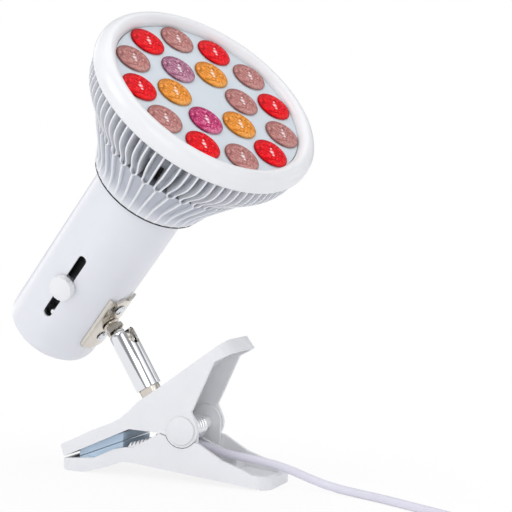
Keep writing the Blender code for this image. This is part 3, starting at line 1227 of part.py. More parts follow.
def stand(base):
    """Moves the lamp so that the middle of its base, without the loose cord, is at the world's origin."""
    bpy.context.view_layer.update()
    depsgraph = bpy.context.evaluated_depsgraph_get()
    loose = ("cord_free", "cord_coil", "cord_tail", "cord_tie", "plug_body", "plug_pin_1", "plug_pin_2")
    low, high = Vector((math.inf,) * 3), Vector((-math.inf,) * 3)
    for thing in bpy.context.scene.objects:
        if thing.type == "EMPTY" or thing.hide_render or thing.name in loose:
            continue
        shown = thing.evaluated_get(depsgraph)
        mesh = shown.to_mesh()
        for vertex in mesh.vertices:
            point = shown.matrix_world @ vertex.co
            low = Vector(map(min, low, point))
            high = Vector(map(max, high, point))
        shown.to_mesh_clear()
    base.location = (-(low.x + high.x) / 2, -(low.y + high.y) / 2, -low.z)
    print("clamp pivot at", [round(v, 5) for v in base.location])


def main():
    for thing in list(bpy.data.objects):
        bpy.data.objects.remove(thing, do_unlink=True)
    base = frame("Clamp_frame")
    jaw = frame("Jaw_axis", base)
    lean = Matrix.Rotation(-ARM_LEAN, 3, "Y")
    foot = Vector((-UPPER_JAW_REACH * ARM_FOOT_SHARES[0], 0.0, UPPER_HANDLE_RISE * ARM_FOOT_SHARES[1]))
    ball = foot + lean @ Vector((0.0, 0.0, BOSS_TOP + BOSS_FOOT))
    arm_fixed = frame("Arm_axis", jaw, ball, lean)
    arm = frame("Arm_spin", arm_fixed, turn=Matrix.Rotation(ARM_SPIN, 3, "Z"))
    tilt = frame("Ball_tilt", arm, turn=Matrix.Rotation(-STUD_LEAN, 3, "Y"))
    stud = frame("Stud_axis", tilt, turn=Matrix.Rotation(HEAD_TURN, 3, "Z"))
    lamp = frame("Lamp_axis", stud, (STUD_PLACE, 0.0, BALL_TO_AXIS), Matrix.Rotation(math.pi / 2, 3, "Y"))

    build_lower_lever(base)
    pad("lower_pad", base, -PAD_PLAY - PAD_THICKNESS, -PAD_PLAY)
    build_upper_lever(jaw, arm_fixed)
    pad("upper_pad", jaw, 0.0, PAD_THICKNESS)
    build_pivot(base, jaw)
    build_spring(base)
    build_collar(arm_fixed)
    build_arm(arm)
    build_stud(stud)
    build_tube(lamp)
    build_bracket(lamp)
    build_knob(lamp)
    build_socket(lamp)
    build_cap(lamp, lamp)
    build_heat_sink(lamp)
    build_face(lamp)
    build_cord(base)
    stand(base)


main()
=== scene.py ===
"""Dressed view of a clip-on infrared lamp: camera, cord, fine pieces, materials and light, in the frame
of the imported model. Metres, +Z up."""
import json
import math

import bmesh
import bpy
from mathutils import Matrix, Vector


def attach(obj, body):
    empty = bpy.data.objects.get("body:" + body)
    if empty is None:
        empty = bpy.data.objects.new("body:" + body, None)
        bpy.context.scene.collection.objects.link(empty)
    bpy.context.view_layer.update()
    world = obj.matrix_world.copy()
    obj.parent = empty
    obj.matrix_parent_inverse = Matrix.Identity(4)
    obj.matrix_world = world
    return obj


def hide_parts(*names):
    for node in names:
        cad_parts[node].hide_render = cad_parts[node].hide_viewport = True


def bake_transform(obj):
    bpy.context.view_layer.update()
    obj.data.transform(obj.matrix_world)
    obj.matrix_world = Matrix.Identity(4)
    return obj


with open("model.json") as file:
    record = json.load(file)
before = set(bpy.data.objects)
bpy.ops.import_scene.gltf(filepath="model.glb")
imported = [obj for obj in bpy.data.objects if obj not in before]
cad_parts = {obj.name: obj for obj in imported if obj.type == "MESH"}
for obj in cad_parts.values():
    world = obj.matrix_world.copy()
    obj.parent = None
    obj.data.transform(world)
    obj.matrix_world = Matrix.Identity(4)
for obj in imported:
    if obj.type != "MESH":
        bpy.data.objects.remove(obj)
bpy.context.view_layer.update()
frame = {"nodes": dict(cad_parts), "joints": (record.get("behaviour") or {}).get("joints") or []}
scene = bpy.context.scene
nodes = frame["nodes"]
joints = {joint["name"]: joint for joint in frame["joints"]}
base = Vector(joints["jaw_open"]["pos_m"])


def mm(*values):
    return tuple(v / 1000 for v in values)


# Camera
camera_data = bpy.data.cameras.new("camera")
camera_data.lens = 119.53
camera_data.sensor_width = 36.0
camera_data.clip_start = 0.01
camera_data.clip_end = 50.0
camera = bpy.data.objects.new("camera", camera_data)
scene.collection.objects.link(camera)
eye = base + Vector(mm(311.82, -832.18, 130.78))
camera_axes = ((0.945, 0.3235, 0.0482), (-0.0601, 0.0269, 0.9978), (0.3215, -0.9458, 0.0449))
camera.matrix_world = Matrix.Translation(eye) @ Matrix(camera_axes).transposed().to_4x4()
scene.camera = camera

# Mesh helpers
CURVE_STEPS = 24


def mesh_object(name, data, body, slot, *replaced, place=None):
    """A new object in the finish of its slot, its mesh moved to its place."""
    made = bpy.data.objects.new(name, data)
    scene.collection.objects.link(made)
    if place is not None:
        data.transform(place)
    if replaced:
        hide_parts(*replaced)
    if body:
        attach(made, body)
    data.materials.append(FINISH[slot])
    return made


def loft(name, rings, smooth_angle=40.0, closed=False):
    """A surface through rings of points of one count, one-point rings being tips. Closed, it runs on from
    the last ring to the first; else its open ends are capped."""
    grid = bmesh.new()
    loops = [[grid.verts.new(p) for p in ring] for ring in rings]
    pairs = list(zip(loops, loops[1:]))
    if closed:
        pairs.append((loops[-1], loops[0]))
    for a, b in pairs:
        count = max(len(a), len(b))
        for i in range(count):
            j = (i + 1) % count
            if len(a) == 1:
                grid.faces.new((a[0], b[i], b[j]))
            elif len(b) == 1:
                grid.faces.new((a[j], a[i], b[0]))
            else:
                grid.faces.new((a[j], a[i], b[i], b[j]))
    if not closed:
        for loop in (loops[0], loops[-1]):
            if len(loop) > 2:
                grid.faces.new(loop)
    bmesh.ops.recalc_face_normals(grid, faces=grid.faces)
    data = bpy.data.meshes.new(name)
    grid.to_mesh(data)
    grid.free()
    data.shade_smooth()
    data.set_sharp_from_angle(angle=math.radians(smooth_angle))
    return data


def circle(radius, height, count):
    if radius == 0:
        return [Vector((0.0, 0.0, height))]
    turns = [2 * math.pi * i / count for i in range(count)]
    return [Vector((radius * math.cos(a), radius * math.sin(a), height)) for a in turns]


def smooth_curve(points, step):
    """Points about a step apart on the smooth curve through the given points."""
    given = [Vector(p) for p in points]
    ends = [2 * given[0] - given[1], *given, 2 * given[-1] - given[-2]]
    fine = []
    for a, b, c, d in zip(ends, ends[1:], ends[2:], ends[3:]):
        for k in range(CURVE_STEPS):
            t = k / CURVE_STEPS
            fine.append(0.5 * (2 * b + (c - a) * t + (2 * a - 5 * b + 4 * c - d) * t * t
                               + (3 * b - a - 3 * c + d) * t ** 3))
    fine.append(given[-1])
    lengths = [0.0]
    for a, b in zip(fine, fine[1:]):
        lengths.append(lengths[-1] + (b - a).length)
    count = max(2, round(lengths[-1] / step))
    out, k = [], 0
    for i in range(count + 1):
        want = lengths[-1] * i / count
        while k < len(lengths) - 2 and lengths[k + 1] < want:
            k += 1
        span = lengths[k + 1] - lengths[k]
        share = 0.0 if span == 0 else (want - lengths[k]) / span
        out.append(fine[k].lerp(fine[k + 1], share))
    return out


def tube(name, points, radius, sides):
    """A round tube along points, its rings turned without twist."""
    turns = [2 * math.pi * k / sides for k in range(sides)]
    rings = []
    normal = None
    for i, point in enumerate(points):
        along = (points[min(i + 1, len(points) - 1)] - points[max(i - 1, 0)]).normalized()
        if normal is None:
            normal = along.orthogonal().normalized()
        normal = (normal - along * normal.dot(along)).normalized()
        across = along.cross(normal)
        rings.append([point + radius * (normal * math.cos(a) + across * math.sin(a)) for a in turns])
    return loft(name, rings, 50.0)


# Node helpers
def shader(name):
    made = bpy.data.materials.new(name)
    made.use_nodes = True
    return made, made.node_tree.nodes, made.node_tree.links, made.node_tree.nodes["Principled BSDF"]


def noise(tree, links, place, **settings):
    """Noise over the place, its sockets set by name."""
    made = tree.new("ShaderNodeTexNoise")
    for socket, value in settings.items():
        made.inputs[socket].default_value = value
    links.new(place, made.inputs["Vector"])
    return made.outputs["Fac"]


def ranged(tree, links, source, start, end, low, high, smooth=True):
    """The source from start to end laid onto low to high, eased at both ends or straight."""
    made = tree.new("ShaderNodeMapRange")
    made.interpolation_type = "SMOOTHSTEP" if smooth else "LINEAR"
    for socket, value in (("From Min", start), ("From Max", end), ("To Min", low), ("To Max", high)):
        made.inputs[socket].default_value = value
    links.new(source, made.inputs["Value"])
    return made.outputs["Result"]


def calculated(tree, links, operation, first, second):
    made = tree.new("ShaderNodeMath")
    made.operation = operation
    links.new(first, made.inputs[0])
    links.new(second, made.inputs[1])
    return made.outputs["Value"]


def colour_mix(tree, links, factor):
    """A mix of two colours by the factor: its two colour inputs and its output."""
    made = tree.new("ShaderNodeMix")
    made.data_type = "RGBA"
    links.new(factor, made.inputs[0])
    return made.inputs[6], made.inputs[7], made.outputs[2]


def shader_mix(tree, links, factor, first, second):
    made = tree.new("ShaderNodeMixShader")
    links.new(factor, made.inputs["Fac"])
    links.new(first, made.inputs[1])
    links.new(second, made.inputs[2])
    return made.outputs["Shader"]


def bumped(tree, links, principled, height, strength, distance):
    made = tree.new("ShaderNodeBump")
    made.inputs["Strength"].default_value = strength
    made.inputs["Distance"].default_value = distance
    links.new(height, made.inputs["Height"])
    links.new(made.outputs["Normal"], principled.inputs["Normal"])


# Materials, by the names of their slots
FINISH = {}
DRIFT_SCALE, DRIFT_DETAIL, DRIFT_ENDS = 60.0, 3.0, (0.3, 0.7)
GRAIN_DETAIL, GRAIN_LIFT = 2.0, 0.0002
COAT_ROUGHNESS = 0.08


def finish_of(name, colour, roughness, metallic=0.0, vary=0.03, bump=0.05, grain=1500.0, coat=0.0,
              rough_vary=0.06):
    """A painted, moulded or metal surface: slow colour drift, uneven gloss and a fine grain."""
    made, tree, links, principled = shader(name)
    place = tree.new("ShaderNodeTexCoord").outputs["Object"]
    drift = noise(tree, links, place, Scale=DRIFT_SCALE, Detail=DRIFT_DETAIL)
    ramp = tree.new("ShaderNodeValToRGB")
    dark, light = ramp.color_ramp.elements
    dark.position, light.position = DRIFT_ENDS
    dark.color = (*[c * (1 - vary) for c in colour], 1.0)
    light.color = (*[min(1.0, c * (1 + vary)) for c in colour], 1.0)
    links.new(drift, ramp.inputs["Fac"])
    links.new(ramp.outputs["Color"], principled.inputs["Base Color"])
    gloss = ranged(tree, links, drift, 0.0, 1.0, roughness * (1 - rough_vary), roughness * (1 + rough_vary),
                   smooth=False)
    links.new(gloss, principled.inputs["Roughness"])
    bumped(tree, links, principled, noise(tree, links, place, Scale=grain, Detail=GRAIN_DETAIL), bump,
           GRAIN_LIFT)
    principled.inputs["Metallic"].default_value = metallic
    principled.inputs["Coat Weight"].default_value = coat
    principled.inputs["Coat Roughness"].default_value = COAT_ROUGHNESS
    FINISH[name] = made


finish_of("white_plastic", (0.81, 0.81, 0.82), 0.42, vary=0.015, grain=2500.0, bump=0.08)
finish_of("white_gloss", (0.84, 0.84, 0.845), 0.3, vary=0.01, bump=0.02, coat=0.15)
finish_of("tube_enamel", (0.78, 0.785, 0.82), 0.32, vary=0.01, grain=900.0, bump=0.02, coat=0.2)
finish_of("sink_enamel", (0.84, 0.845, 0.86), 0.38, vary=0.015, bump=0.05)
finish_of("face_white", (0.66, 0.71, 0.75), 0.35, vary=0.01, bump=0.03)
finish_of("pad_rubber", (0.48, 0.60, 0.72), 0.45, vary=0.12, bump=0.12)
finish_of("chrome", (0.80, 0.81, 0.84), 0.07, 1.0, vary=0.02, bump=0.01, rough_vary=0.3)
finish_of("nickel", (0.66, 0.62, 0.56), 0.2, 1.0, vary=0.06, bump=0.03, rough_vary=0.3)
finish_of("spring_steel", (0.84, 0.85, 0.86), 0.2, 1.0, vary=0.05, bump=0.03)
finish_of("zinc", (0.72, 0.74, 0.77), 0.22, 1.0, vary=0.05, bump=0.04)
finish_of("brass", (0.75, 0.58, 0.30), 0.28, 1.0, vary=0.05, bump=0.04)
finish_of("black_plastic", (0.012, 0.012, 0.013), 0.45, vary=0.1, bump=0.1)
finish_of("board_green", (0.70, 0.70, 0.66), 0.5, vary=0.04, bump=0.05)
finish_of("glass_insulator", (0.03, 0.03, 0.05), 0.15, vary=0.1, bump=0.02)
finish_of("cord_white", (0.73, 0.71, 0.79), 0.42, vary=0.02, bump=0.06)
# Near-black painted shade for the sink's inside, seen through the vents
finish_of("sink_vent_painted_shade", (0.022, 0.010, 0.009), 0.6, vary=0.3, bump=0.1)
finish_of("tie_black", (0.03, 0.03, 0.032), 0.5, vary=0.1, bump=0.1)


def painted_shade_finish(name, base_finish, low):
    """A finish with painted shade: darker towards the low places, after a level that the mesh carries, one
    where lit and nought in the deepest painted shade.
    """
    made = base_finish.copy()
    made.name = name
    tree, links = made.node_tree.nodes, made.node_tree.links
    principled = tree["Principled BSDF"]
    source = principled.inputs["Base Color"].links[0].from_socket
    edge = tree.new("ShaderNodeAttribute")
    edge.attribute_name = "painted_light_level"
    dark, light, out = colour_mix(tree, links, edge.outputs["Fac"])
    dark.default_value = (*low, 1.0)
    links.new(source, light)
    links.new(out, principled.inputs["Base Color"])
    return made


# Look of a lens, in lens radii: painted highlights as place and size, and bands of painted shade (rim,
# one side) and painted light (other side) as start, end and the share of their tint at each
PAINTED_HIGHLIGHTS = ((0.02, 0.0, 0.13), (0.24, -0.10, 0.08), (-0.18, 0.14, 0.07))
HIGHLIGHT_START, HIGHLIGHT_END, HIGHLIGHT_SHARE = 0.3, 1.3, 0.95
RIM_SHADE_BAND = (0.88, 1.0, 0.0, 0.85)
SIDE_SHADE_BAND = (-0.98, -0.50, 0.7, 0.0)
SIDE_LIGHT_BAND = (0.60, 0.95, 0.0, 0.45)
DEEP_AT, COLOUR_AT, PALE_AT = 0.40, (0.47, 0.55), 0.62
RIM_SHADE_DARKNESS, HIGHLIGHT_WHITE = 0.45, 0.7
LENS_BUMP, LENS_LIFT, LENS_ROUGHNESS, LENS_SPECULAR = 0.4, 0.0004, 0.25, 0.06


def lens_finish(name, colour, deep, pale):
    """A moulded lens over a coloured light: facets, painted shade on the rim and one side, painted light on
    the other side and painted highlights near the middle. Reads the place on the lens, in lens radii, that
    its mesh carries."""
    made, tree, links, principled = shader(name)
    carried = tree.new("ShaderNodeAttribute")
    carried.attribute_name = "lens_place"
    place = carried.outputs["Vector"]
    warp = noise(tree, links, place, Scale=2.8, Detail=3.0, Roughness=0.7, Distortion=2.2)
    ramp = tree.new("ShaderNodeValToRGB")
    first, last = ramp.color_ramp.elements
    first.position, last.position = DEEP_AT, PALE_AT
    first.color = (*deep, 1.0)
    last.color = (*pale, 1.0)
    for position in COLOUR_AT:
        ramp.color_ramp.elements.new(position).color = (*colour, 1.0)
    links.new(warp, ramp.inputs["Fac"])
    radius = tree.new("ShaderNodeVectorMath")
    radius.operation = "LENGTH"
    links.new(place, radius.inputs[0])
    axes = tree.new("ShaderNodeSeparateXYZ")
    links.new(place, axes.inputs["Vector"])

    def tinted(shade, source, band, tint):
        under, over, out = colour_mix(tree, links, ranged(tree, links, source, *band))
        links.new(shade, under)
        over.default_value = (*tint, 1.0)
        return out

    # Painted light and shade: a darker rim and shaded side, a paler lit side, near-white painted highlights
    dark = tuple(c * RIM_SHADE_DARKNESS for c in deep)
    highlight = tuple(HIGHLIGHT_WHITE + (1 - HIGHLIGHT_WHITE) * c for c in pale)
    shade = tinted(ramp.outputs["Color"], radius.outputs["Value"], RIM_SHADE_BAND, dark)
    shade = tinted(shade, axes.outputs["X"], SIDE_SHADE_BAND, deep)
    shade = tinted(shade, axes.outputs["X"], SIDE_LIGHT_BAND, pale)
    # Painted highlights: near-white glints at given places on the lens
    for x, y, size in PAINTED_HIGHLIGHTS:
        reach = tree.new("ShaderNodeVectorMath")
        reach.operation = "DISTANCE"
        links.new(place, reach.inputs[0])
        reach.inputs[1].default_value = (x, y, 0.0)
        band = (size * HIGHLIGHT_START, size * HIGHLIGHT_END, HIGHLIGHT_SHARE, 0.0)
        shade = tinted(shade, reach.outputs["Value"], band, highlight)
    links.new(shade, principled.inputs["Base Color"])
    bumped(tree, links, principled, warp, LENS_BUMP, LENS_LIFT)
    principled.inputs["Roughness"].default_value = LENS_ROUGHNESS
    principled.inputs["Specular IOR Level"].default_value = LENS_SPECULAR
    FINISH[name] = made


lens_finish("lens_red", (0.86, 0.001, 0.009), (0.42, 0.0, 0.005), (0.95, 0.05, 0.05))
lens_finish("lens_pale", (0.52, 0.22, 0.20), (0.28, 0.11, 0.10), (0.66, 0.38, 0.34))
lens_finish("lens_mauve", (0.46, 0.19, 0.28), (0.20, 0.06, 0.12), (0.72, 0.44, 0.52))
lens_finish("lens_orange", (0.86, 0.30, 0.035), (0.45, 0.15, 0.02), (0.96, 0.50, 0.16))
lens_finish("lens_magenta", (0.60, 0.055, 0.18), (0.26, 0.01, 0.07), (0.85, 0.32, 0.48))

# Facets made smooth
WELD_DISTANCE = 0.000002
SHARP_OVER = math.radians(32)
smoother = bpy.data.node_groups.new("smooth_facets", "GeometryNodeTree")
smoother.interface.new_socket("Geometry", in_out="INPUT", socket_type="NodeSocketGeometry")
smoother.interface.new_socket("Geometry", in_out="OUTPUT", socket_type="NodeSocketGeometry")
group_in = smoother.nodes.new("NodeGroupInput")
group_out = smoother.nodes.new("NodeGroupOutput")
weld = smoother.nodes.new("GeometryNodeMergeByDistance")
weld.inputs["Distance"].default_value = WELD_DISTANCE
drop = smoother.nodes.new("GeometryNodeRemoveAttribute")
drop.inputs["Name"].default_value = "custom_normal"
all_smooth = smoother.nodes.new("GeometryNodeSetShadeSmooth")
all_smooth.domain = "FACE"
sharp = smoother.nodes.new("GeometryNodeSetShadeSmooth")
sharp.domain = "EDGE"
sharp.inputs["Shade Smooth"].default_value = False
angle = smoother.nodes.new("GeometryNodeInputMeshEdgeAngle")
wide = smoother.nodes.new("FunctionNodeCompare")
wide.operation = "GREATER_THAN"
wide.inputs["B"].default_value = SHARP_OVER
chain = (group_in, drop, weld, all_smooth, sharp, group_out)
for before_it, after_it in zip(chain, chain[1:]):
    smoother.links.new(before_it.outputs["Geometry"], after_it.inputs["Geometry"])
smoother.links.new(angle.outputs["Unsigned Angle"], wide.inputs["A"])
smoother.links.new(wide.outputs["Result"], sharp.inputs["Selection"])

# Rounding of the moulded and turned edges, in metres
ROUNDED = {
    "lower_lever": 0.0004, "upper_lever": 0.0004, "pivot_cap_near": 0.0002, "pivot_cap_far": 0.0002,
    "plug_body": 0.0010, "collar": 0.0002, "bracket_plate": 0.0002, "upper_pad": 0.0003,
    "lower_pad": 0.0003, "height_knob": 0.00015,
}
ROUNDED_OVER = math.radians(40)


def dress(node, finish):
    """Gives a node of the model its finish, smooth facets and, where it is moulded or turned, soft edges."""
    thing = nodes[node]
    if not thing.material_slots:
        thing.data.materials.append(FINISH[finish])
    for held in thing.material_slots:
        held.material = FINISH[finish]
    thing.modifiers.new("smooth_facets", "NODES").node_group = smoother
    if node in ROUNDED:
        rounding = thing.modifiers.new("rounding", "BEVEL")
        rounding.width = ROUNDED[node]
        rounding.segments = 2
        rounding.limit_method = "ANGLE"
        rounding.angle_limit = ROUNDED_OVER
        rounding.use_clamp_overlap = True
        rounding.harden_normals = False


# Mains cord, its places measured from the clamp's pivot
CORD_DIAMETER = 0.0044
CORD_RADIUS = CORD_DIAMETER / 2
PIVOT_HEIGHT = 0.0266
GAP = 0.0003
CORD_ROUTE = (
    (0.0006, 0.0, -0.0088), (0.0045, 0.0, -0.0093), (0.0100, 0.0, -0.0109), (0.0180, 0.0, -0.0127),
    (0.0280, 0.0, -0.0139), (0.0380, 0.0, -0.0149), (0.0500, 0.0, -0.0170),
    (0.0600, -0.0004, -0.0199), (0.0700, -0.0016, -0.0226), (0.0800, -0.0044, -0.0240),
    (0.0920, -0.0096, -0.0244), (0.1069, -0.0173, -0.0244), (0.1230, -0.0272, -0.0244),
    (0.1400, -0.0379, -0.0244), (0.1600, -0.0505, -0.0243), (0.1780, -0.0619, -0.0238),
)
BUSHING = Vector((-0.0225, 0.0, -0.0136))
BUSHING_LENGTH = 0.0200
BUSHING_SLOPE = math.radians(12.5)
CORD_STEP, CORD_LEAD = 0.0095, 0.0015
COIL_CENTRE = (0.2170, -0.0505)
COIL_LAYERS, COIL_TURNS_PER_LAYER, COIL_CLIMB_TURNS = 4, 2.3355, 0.5
COIL_MEAN_RADIUS, COIL_PITCH, COIL_POINTS_PER_TURN = 0.0250, 0.0050, 22
COIL_START_ANGLE = math.radians(237)
TIE_LIFT = 0.0010
PLUG_HEIGHT = 0.0068
PLUG_PLACE = Vector((0.2480, 0.0180, -PIVOT_HEIGHT + PLUG_HEIGHT))
RELIEF_LENGTH = 0.0220


def coil_points():
    """The wound part of the cord: spirals inward and outward by turns, one layer above the other."""
    per_layer = COIL_TURNS_PER_LAYER
    outer = COIL_MEAN_RADIUS + COIL_PITCH * per_layer / 2
    total = per_layer * COIL_LAYERS
    count = round(total * COIL_POINTS_PER_TURN)
    points = []
    for i in range(count + 1):
        turn = total * i / count
        phase = turn % (2 * per_layer)
        inward = phase if phase <= per_layer else 2 * per_layer - phase
        radius = outer - COIL_PITCH * inward
        layer = 0.0
        for k in range(1, COIL_LAYERS):
            layer += max(0.0, min(1.0, (turn - k * per_layer) / COIL_CLIMB_TURNS + 0.5))
        a = COIL_START_ANGLE + 2 * math.pi * turn
        points.append(Vector((COIL_CENTRE[0] + radius * math.cos(a), COIL_CENTRE[1] + radius * math.sin(a),
                              -PIVOT_HEIGHT + CORD_RADIUS + TIE_LIFT + COIL_PITCH * layer)))
    return points


coil = coil_points()
into_coil = (coil[1] - coil[0]).normalized()
out_of_coil = (coil[-1] - coil[-2]).normalized()
coil = [coil[0] - into_coil * CORD_DIAMETER, *coil, coil[-1] + out_of_coil * CORD_DIAMETER]
before = coil[0] - into_coil * GAP
leaves = Vector((math.cos(BUSHING_SLOPE), 0.0, math.sin(BUSHING_SLOPE)))
cord_start = BUSHING + leaves * (BUSHING_LENGTH + GAP)
free = [cord_start, *smooth_curve(
    [cord_start + leaves * CORD_LEAD, *map(Vector, CORD_ROUTE), before - into_coil * 2 * CORD_DIAMETER,
     before - into_coil * CORD_LEAD], CORD_STEP), before]
after = coil[-1] + out_of_coil * GAP
backward = Vector((0.0, -1.0, 0.0))
relief_tip = PLUG_PLACE + backward * (RELIEF_LENGTH + GAP)
tail = [after, *smooth_curve(
    [after + out_of_coil * CORD_LEAD, after + out_of_coil * 2 * CORD_DIAMETER,
     relief_tip + backward * 2 * CORD_DIAMETER, relief_tip + backward * CORD_LEAD], CORD_STEP), relief_tip]
route = [p + base for p in free + coil + tail]
cord_data = bpy.data.curves.new("mains_cord", "CURVE")
cord_data.dimensions = "3D"
cord_data.bevel_depth = CORD_RADIUS
cord_data.bevel_resolution = 5
cord_data.use_fill_caps = True
spline = cord_data.splines.new("POLY")
spline.points.add(len(route) - 1)
for held, point in zip(spline.points, route):
    held.co = (*point, 1.0)
spline.use_smooth = True
cord_data.materials.append(FINISH["cord_white"])
cord = bpy.data.objects.new("mains_cord", cord_data)
scene.collection.objects.link(cord)
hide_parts("cord_free", "cord_coil", "cord_tail")
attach(cord, "lower_half")

# Torsion spring
SPRING_WIRE, SPRING_RADIUS, SPRING_PITCH, SPRING_TURNS = 0.0019, 0.0053, 0.0034, 5
SPRING_START = -0.0142
UPPER_SLOPE, LOWER_SLOPE = math.radians(75), math.radians(-21)
UPPER_LEG, LOWER_LEG = 0.0285, 0.026
STEPS_PER_TURN, LEG_STEPS, WIRE_SIDES = 32, 12, 12


def spring_points():
    """The wire's centreline: a straight leg along the upper half, the turns, a leg along the lower half."""
    first = UPPER_SLOPE + math.pi / 2
    last = LOWER_SLOPE - math.pi / 2 + 2 * math.pi * (SPRING_TURNS + 1)
    count = round((last - first) / (2 * math.pi) * STEPS_PER_TURN)
    points = []
    for i in range(count + 1):
        a = first + (last - first) * i / count
        y = SPRING_START + SPRING_PITCH * (a - first) / (2 * math.pi)
        points.append(Vector((SPRING_RADIUS * math.cos(a), y, SPRING_RADIUS * math.sin(a))))
    up = Vector((math.cos(UPPER_SLOPE), 0.0, math.sin(UPPER_SLOPE)))
    out = Vector((math.cos(LOWER_SLOPE), 0.0, math.sin(LOWER_SLOPE)))
    start = [points[0] + up * UPPER_LEG * k / LEG_STEPS for k in range(LEG_STEPS, 0, -1)]
    end = [points[-1] + out * LOWER_LEG * k / LEG_STEPS for k in range(1, LEG_STEPS + 1)]
    return [p + base for p in start + points + end]


spring = mesh_object("spring_coil", tube("spring_coil", spring_points(), SPRING_WIRE / 2, WIRE_SIDES), None,
                     "spring_steel", "torsion_spring")
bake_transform(spring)

# Lamp frame: its origin on the lamp's axis, +Z out of the lamp's face
ARM_LEAN, ARM_SPIN = math.radians(32.1), math.radians(-16.4)
STUD_LEAN, HEAD_TURN = math.radians(16.4), math.radians(-4.05)
STUD_PLACE, BALL_TO_AXIS = 0.1430, 0.0401
ball = Matrix.Translation(Vector(joints["arm_spin"]["pos_m"]))
arm = ball @ Matrix.Rotation(-ARM_LEAN, 4, "Y") @ Matrix.Rotation(ARM_SPIN, 4, "Z")
stud = arm @ Matrix.Rotation(-STUD_LEAN, 4, "Y") @ Matrix.Rotation(HEAD_TURN, 4, "Z")
lamp = stud @ Matrix.Translation((STUD_PLACE, 0.0, BALL_TO_AXIS)) @ Matrix.Rotation(math.pi / 2, 4, "Y")

# Heat sink: lengths in millimetres, turns in radians, tables of (distance back from the face, radius) and
# for the ribs also (distance back, depth)
UNITS = 40
UNIT_TURN = math.radians(3.6)
PITCH = 2 * math.pi / UNITS
BELL_BORE = (35.5, 23.8)

FIN_STATIONS = (6.9, 9, 12, 15, 18, 21, 23.5, 26, 26.6, 27.2, 28.5, 30, 31.2, 32.0, 32.6, 33.1, 33.5, 33.8,
                34.05, 34.2)
TIP = ((6.9, 59.2), (10, 59.2), (14, 58.6), (18, 56.9), (22, 54.2), (26, 50.7), (30, 47.2), (34.2, 45.2))
TROUGH = ((6.9, 53.0), (14, 52.0), (20, 49.0), (26, 45.6), (34.2, 43.0))
VALLEY = ((6.9, 49.0), (18, 46.5), (23.0, 43.5), (24.0, 36.5), (34.2, 36.5))
FIN_HALF, HAIRPIN = 0.46, 1.9
TIP_ROUND, BEND_DEPTH = 0.2, 0.4
LEAST_TURN, OPEN_TURN, FOOT_TURN = 0.0004, 0.002, 0.004
FLOOR_SHARE = 0.8

BELL_STATIONS = (34.5, 36, 37.5, 39, 41, 43, 45, 47, 49, 51, 53, 55, 57, 58.5, 60, 61.3, 62.3, 63.2, 63.9,
                 64.3)
RIB = ((34.5, 45.1), (37.5, 43.5), (43, 40.3), (47.6, 37.4), (53.5, 34.4), (58.3, 33.0), (61.3, 31.6),
       (62.8, 29.2), (64.3, 25.4))
RIB_DEPTH = ((34.5, 2.5), (40, 2.4), (48, 2.1), (54, 1.5), (58, 0.9), (61.5, 0.3), (63.4, 0.0), (64.3, 0.0))
RIB_HALF, RIB_FOOT, RIB_ROUND, FOOT_RISE = 0.55, 0.95, 0.25, 0.1


def blended(table, z):
    """A value read off a table of (z, value), straight from row to row and level beyond its ends."""
    for (z0, v0), (z1, v1) in zip(table, table[1:]):
        if z <= z1:
            t = (z - z0) / (z1 - z0)
            return v0 + (v1 - v0) * max(0.0, t)
    return table[-1][1]


def sink_ring(z, outline):
    """Points round the sink at z, from one unit's outline of turns and radii."""
    ring = []
    for unit in range(UNITS):
        for offset, radius in outline:
            a = UNIT_TURN + unit * PITCH + offset
            ring.append(Vector(mm(radius * math.cos(a), radius * math.sin(a), -z)))
    return ring


def bored(ring, bore):
    """The ring drawn in to the bore at its own height."""
    return [Vector((p.x, p.y, 0.0)).normalized() * bore / 1000 + Vector((0.0, 0.0, p.z)) for p in ring]


def fins():
    """Forty hairpins, each of two blades that meet in a round bend above the bell."""
    rings = []
    for z in FIN_STATIONS:
        tip, trough, valley = (blended(table, z) for table in (TIP, TROUGH, VALLEY))
        depth = min(FIN_STATIONS[-1] - z, HAIRPIN)
        half_gap = math.sqrt(HAIRPIN ** 2 - (HAIRPIN - depth) ** 2)
        blade = FIN_HALF / tip
        spread = max(half_gap / HAIRPIN * PITCH / 4, blade)
        inner = max(spread - blade, LEAST_TURN)
        outer = spread + blade
        low = trough if inner > OPEN_TURN else tip - BEND_DEPTH
        edge = tip - TIP_ROUND
        rings.append(sink_ring(z, (
            (-PITCH / 2, valley), (-outer - FOOT_TURN, valley), (-outer, edge), (-spread, tip),
            (-inner, edge), (-inner * FLOOR_SHARE, low), (inner * FLOOR_SHARE, low), (inner, edge),
            (spread, tip), (outer, edge), (outer + FOOT_TURN, valley))))
    first, last = bored(rings[0], BELL_BORE[0]), bored(rings[-1], BELL_BORE[0])
    return loft("sink_fins", [first, *rings, last], 35.0, closed=True)


def bell():
    """The bell below the fins, each narrow rib running on from a hairpin and fading at the tube."""
    rings = []
    for z in BELL_STATIONS:
        crest = blended(RIB, z)
        valley = crest - blended(RIB_DEPTH, z)
        rings.append(sink_ring(z, (
            (-PITCH / 2, valley), (-RIB_FOOT / crest, valley + FOOT_RISE),
            (-RIB_HALF / crest, crest - RIB_ROUND), (0.0, crest), (RIB_HALF / crest, crest - RIB_ROUND),
            (RIB_FOOT / crest, valley + FOOT_RISE))))
    first, last = bored(rings[0], BELL_BORE[0]), bored(rings[-1], BELL_BORE[1])
    return loft("sink_bell", [first, *rings, last], 30.0, closed=True)
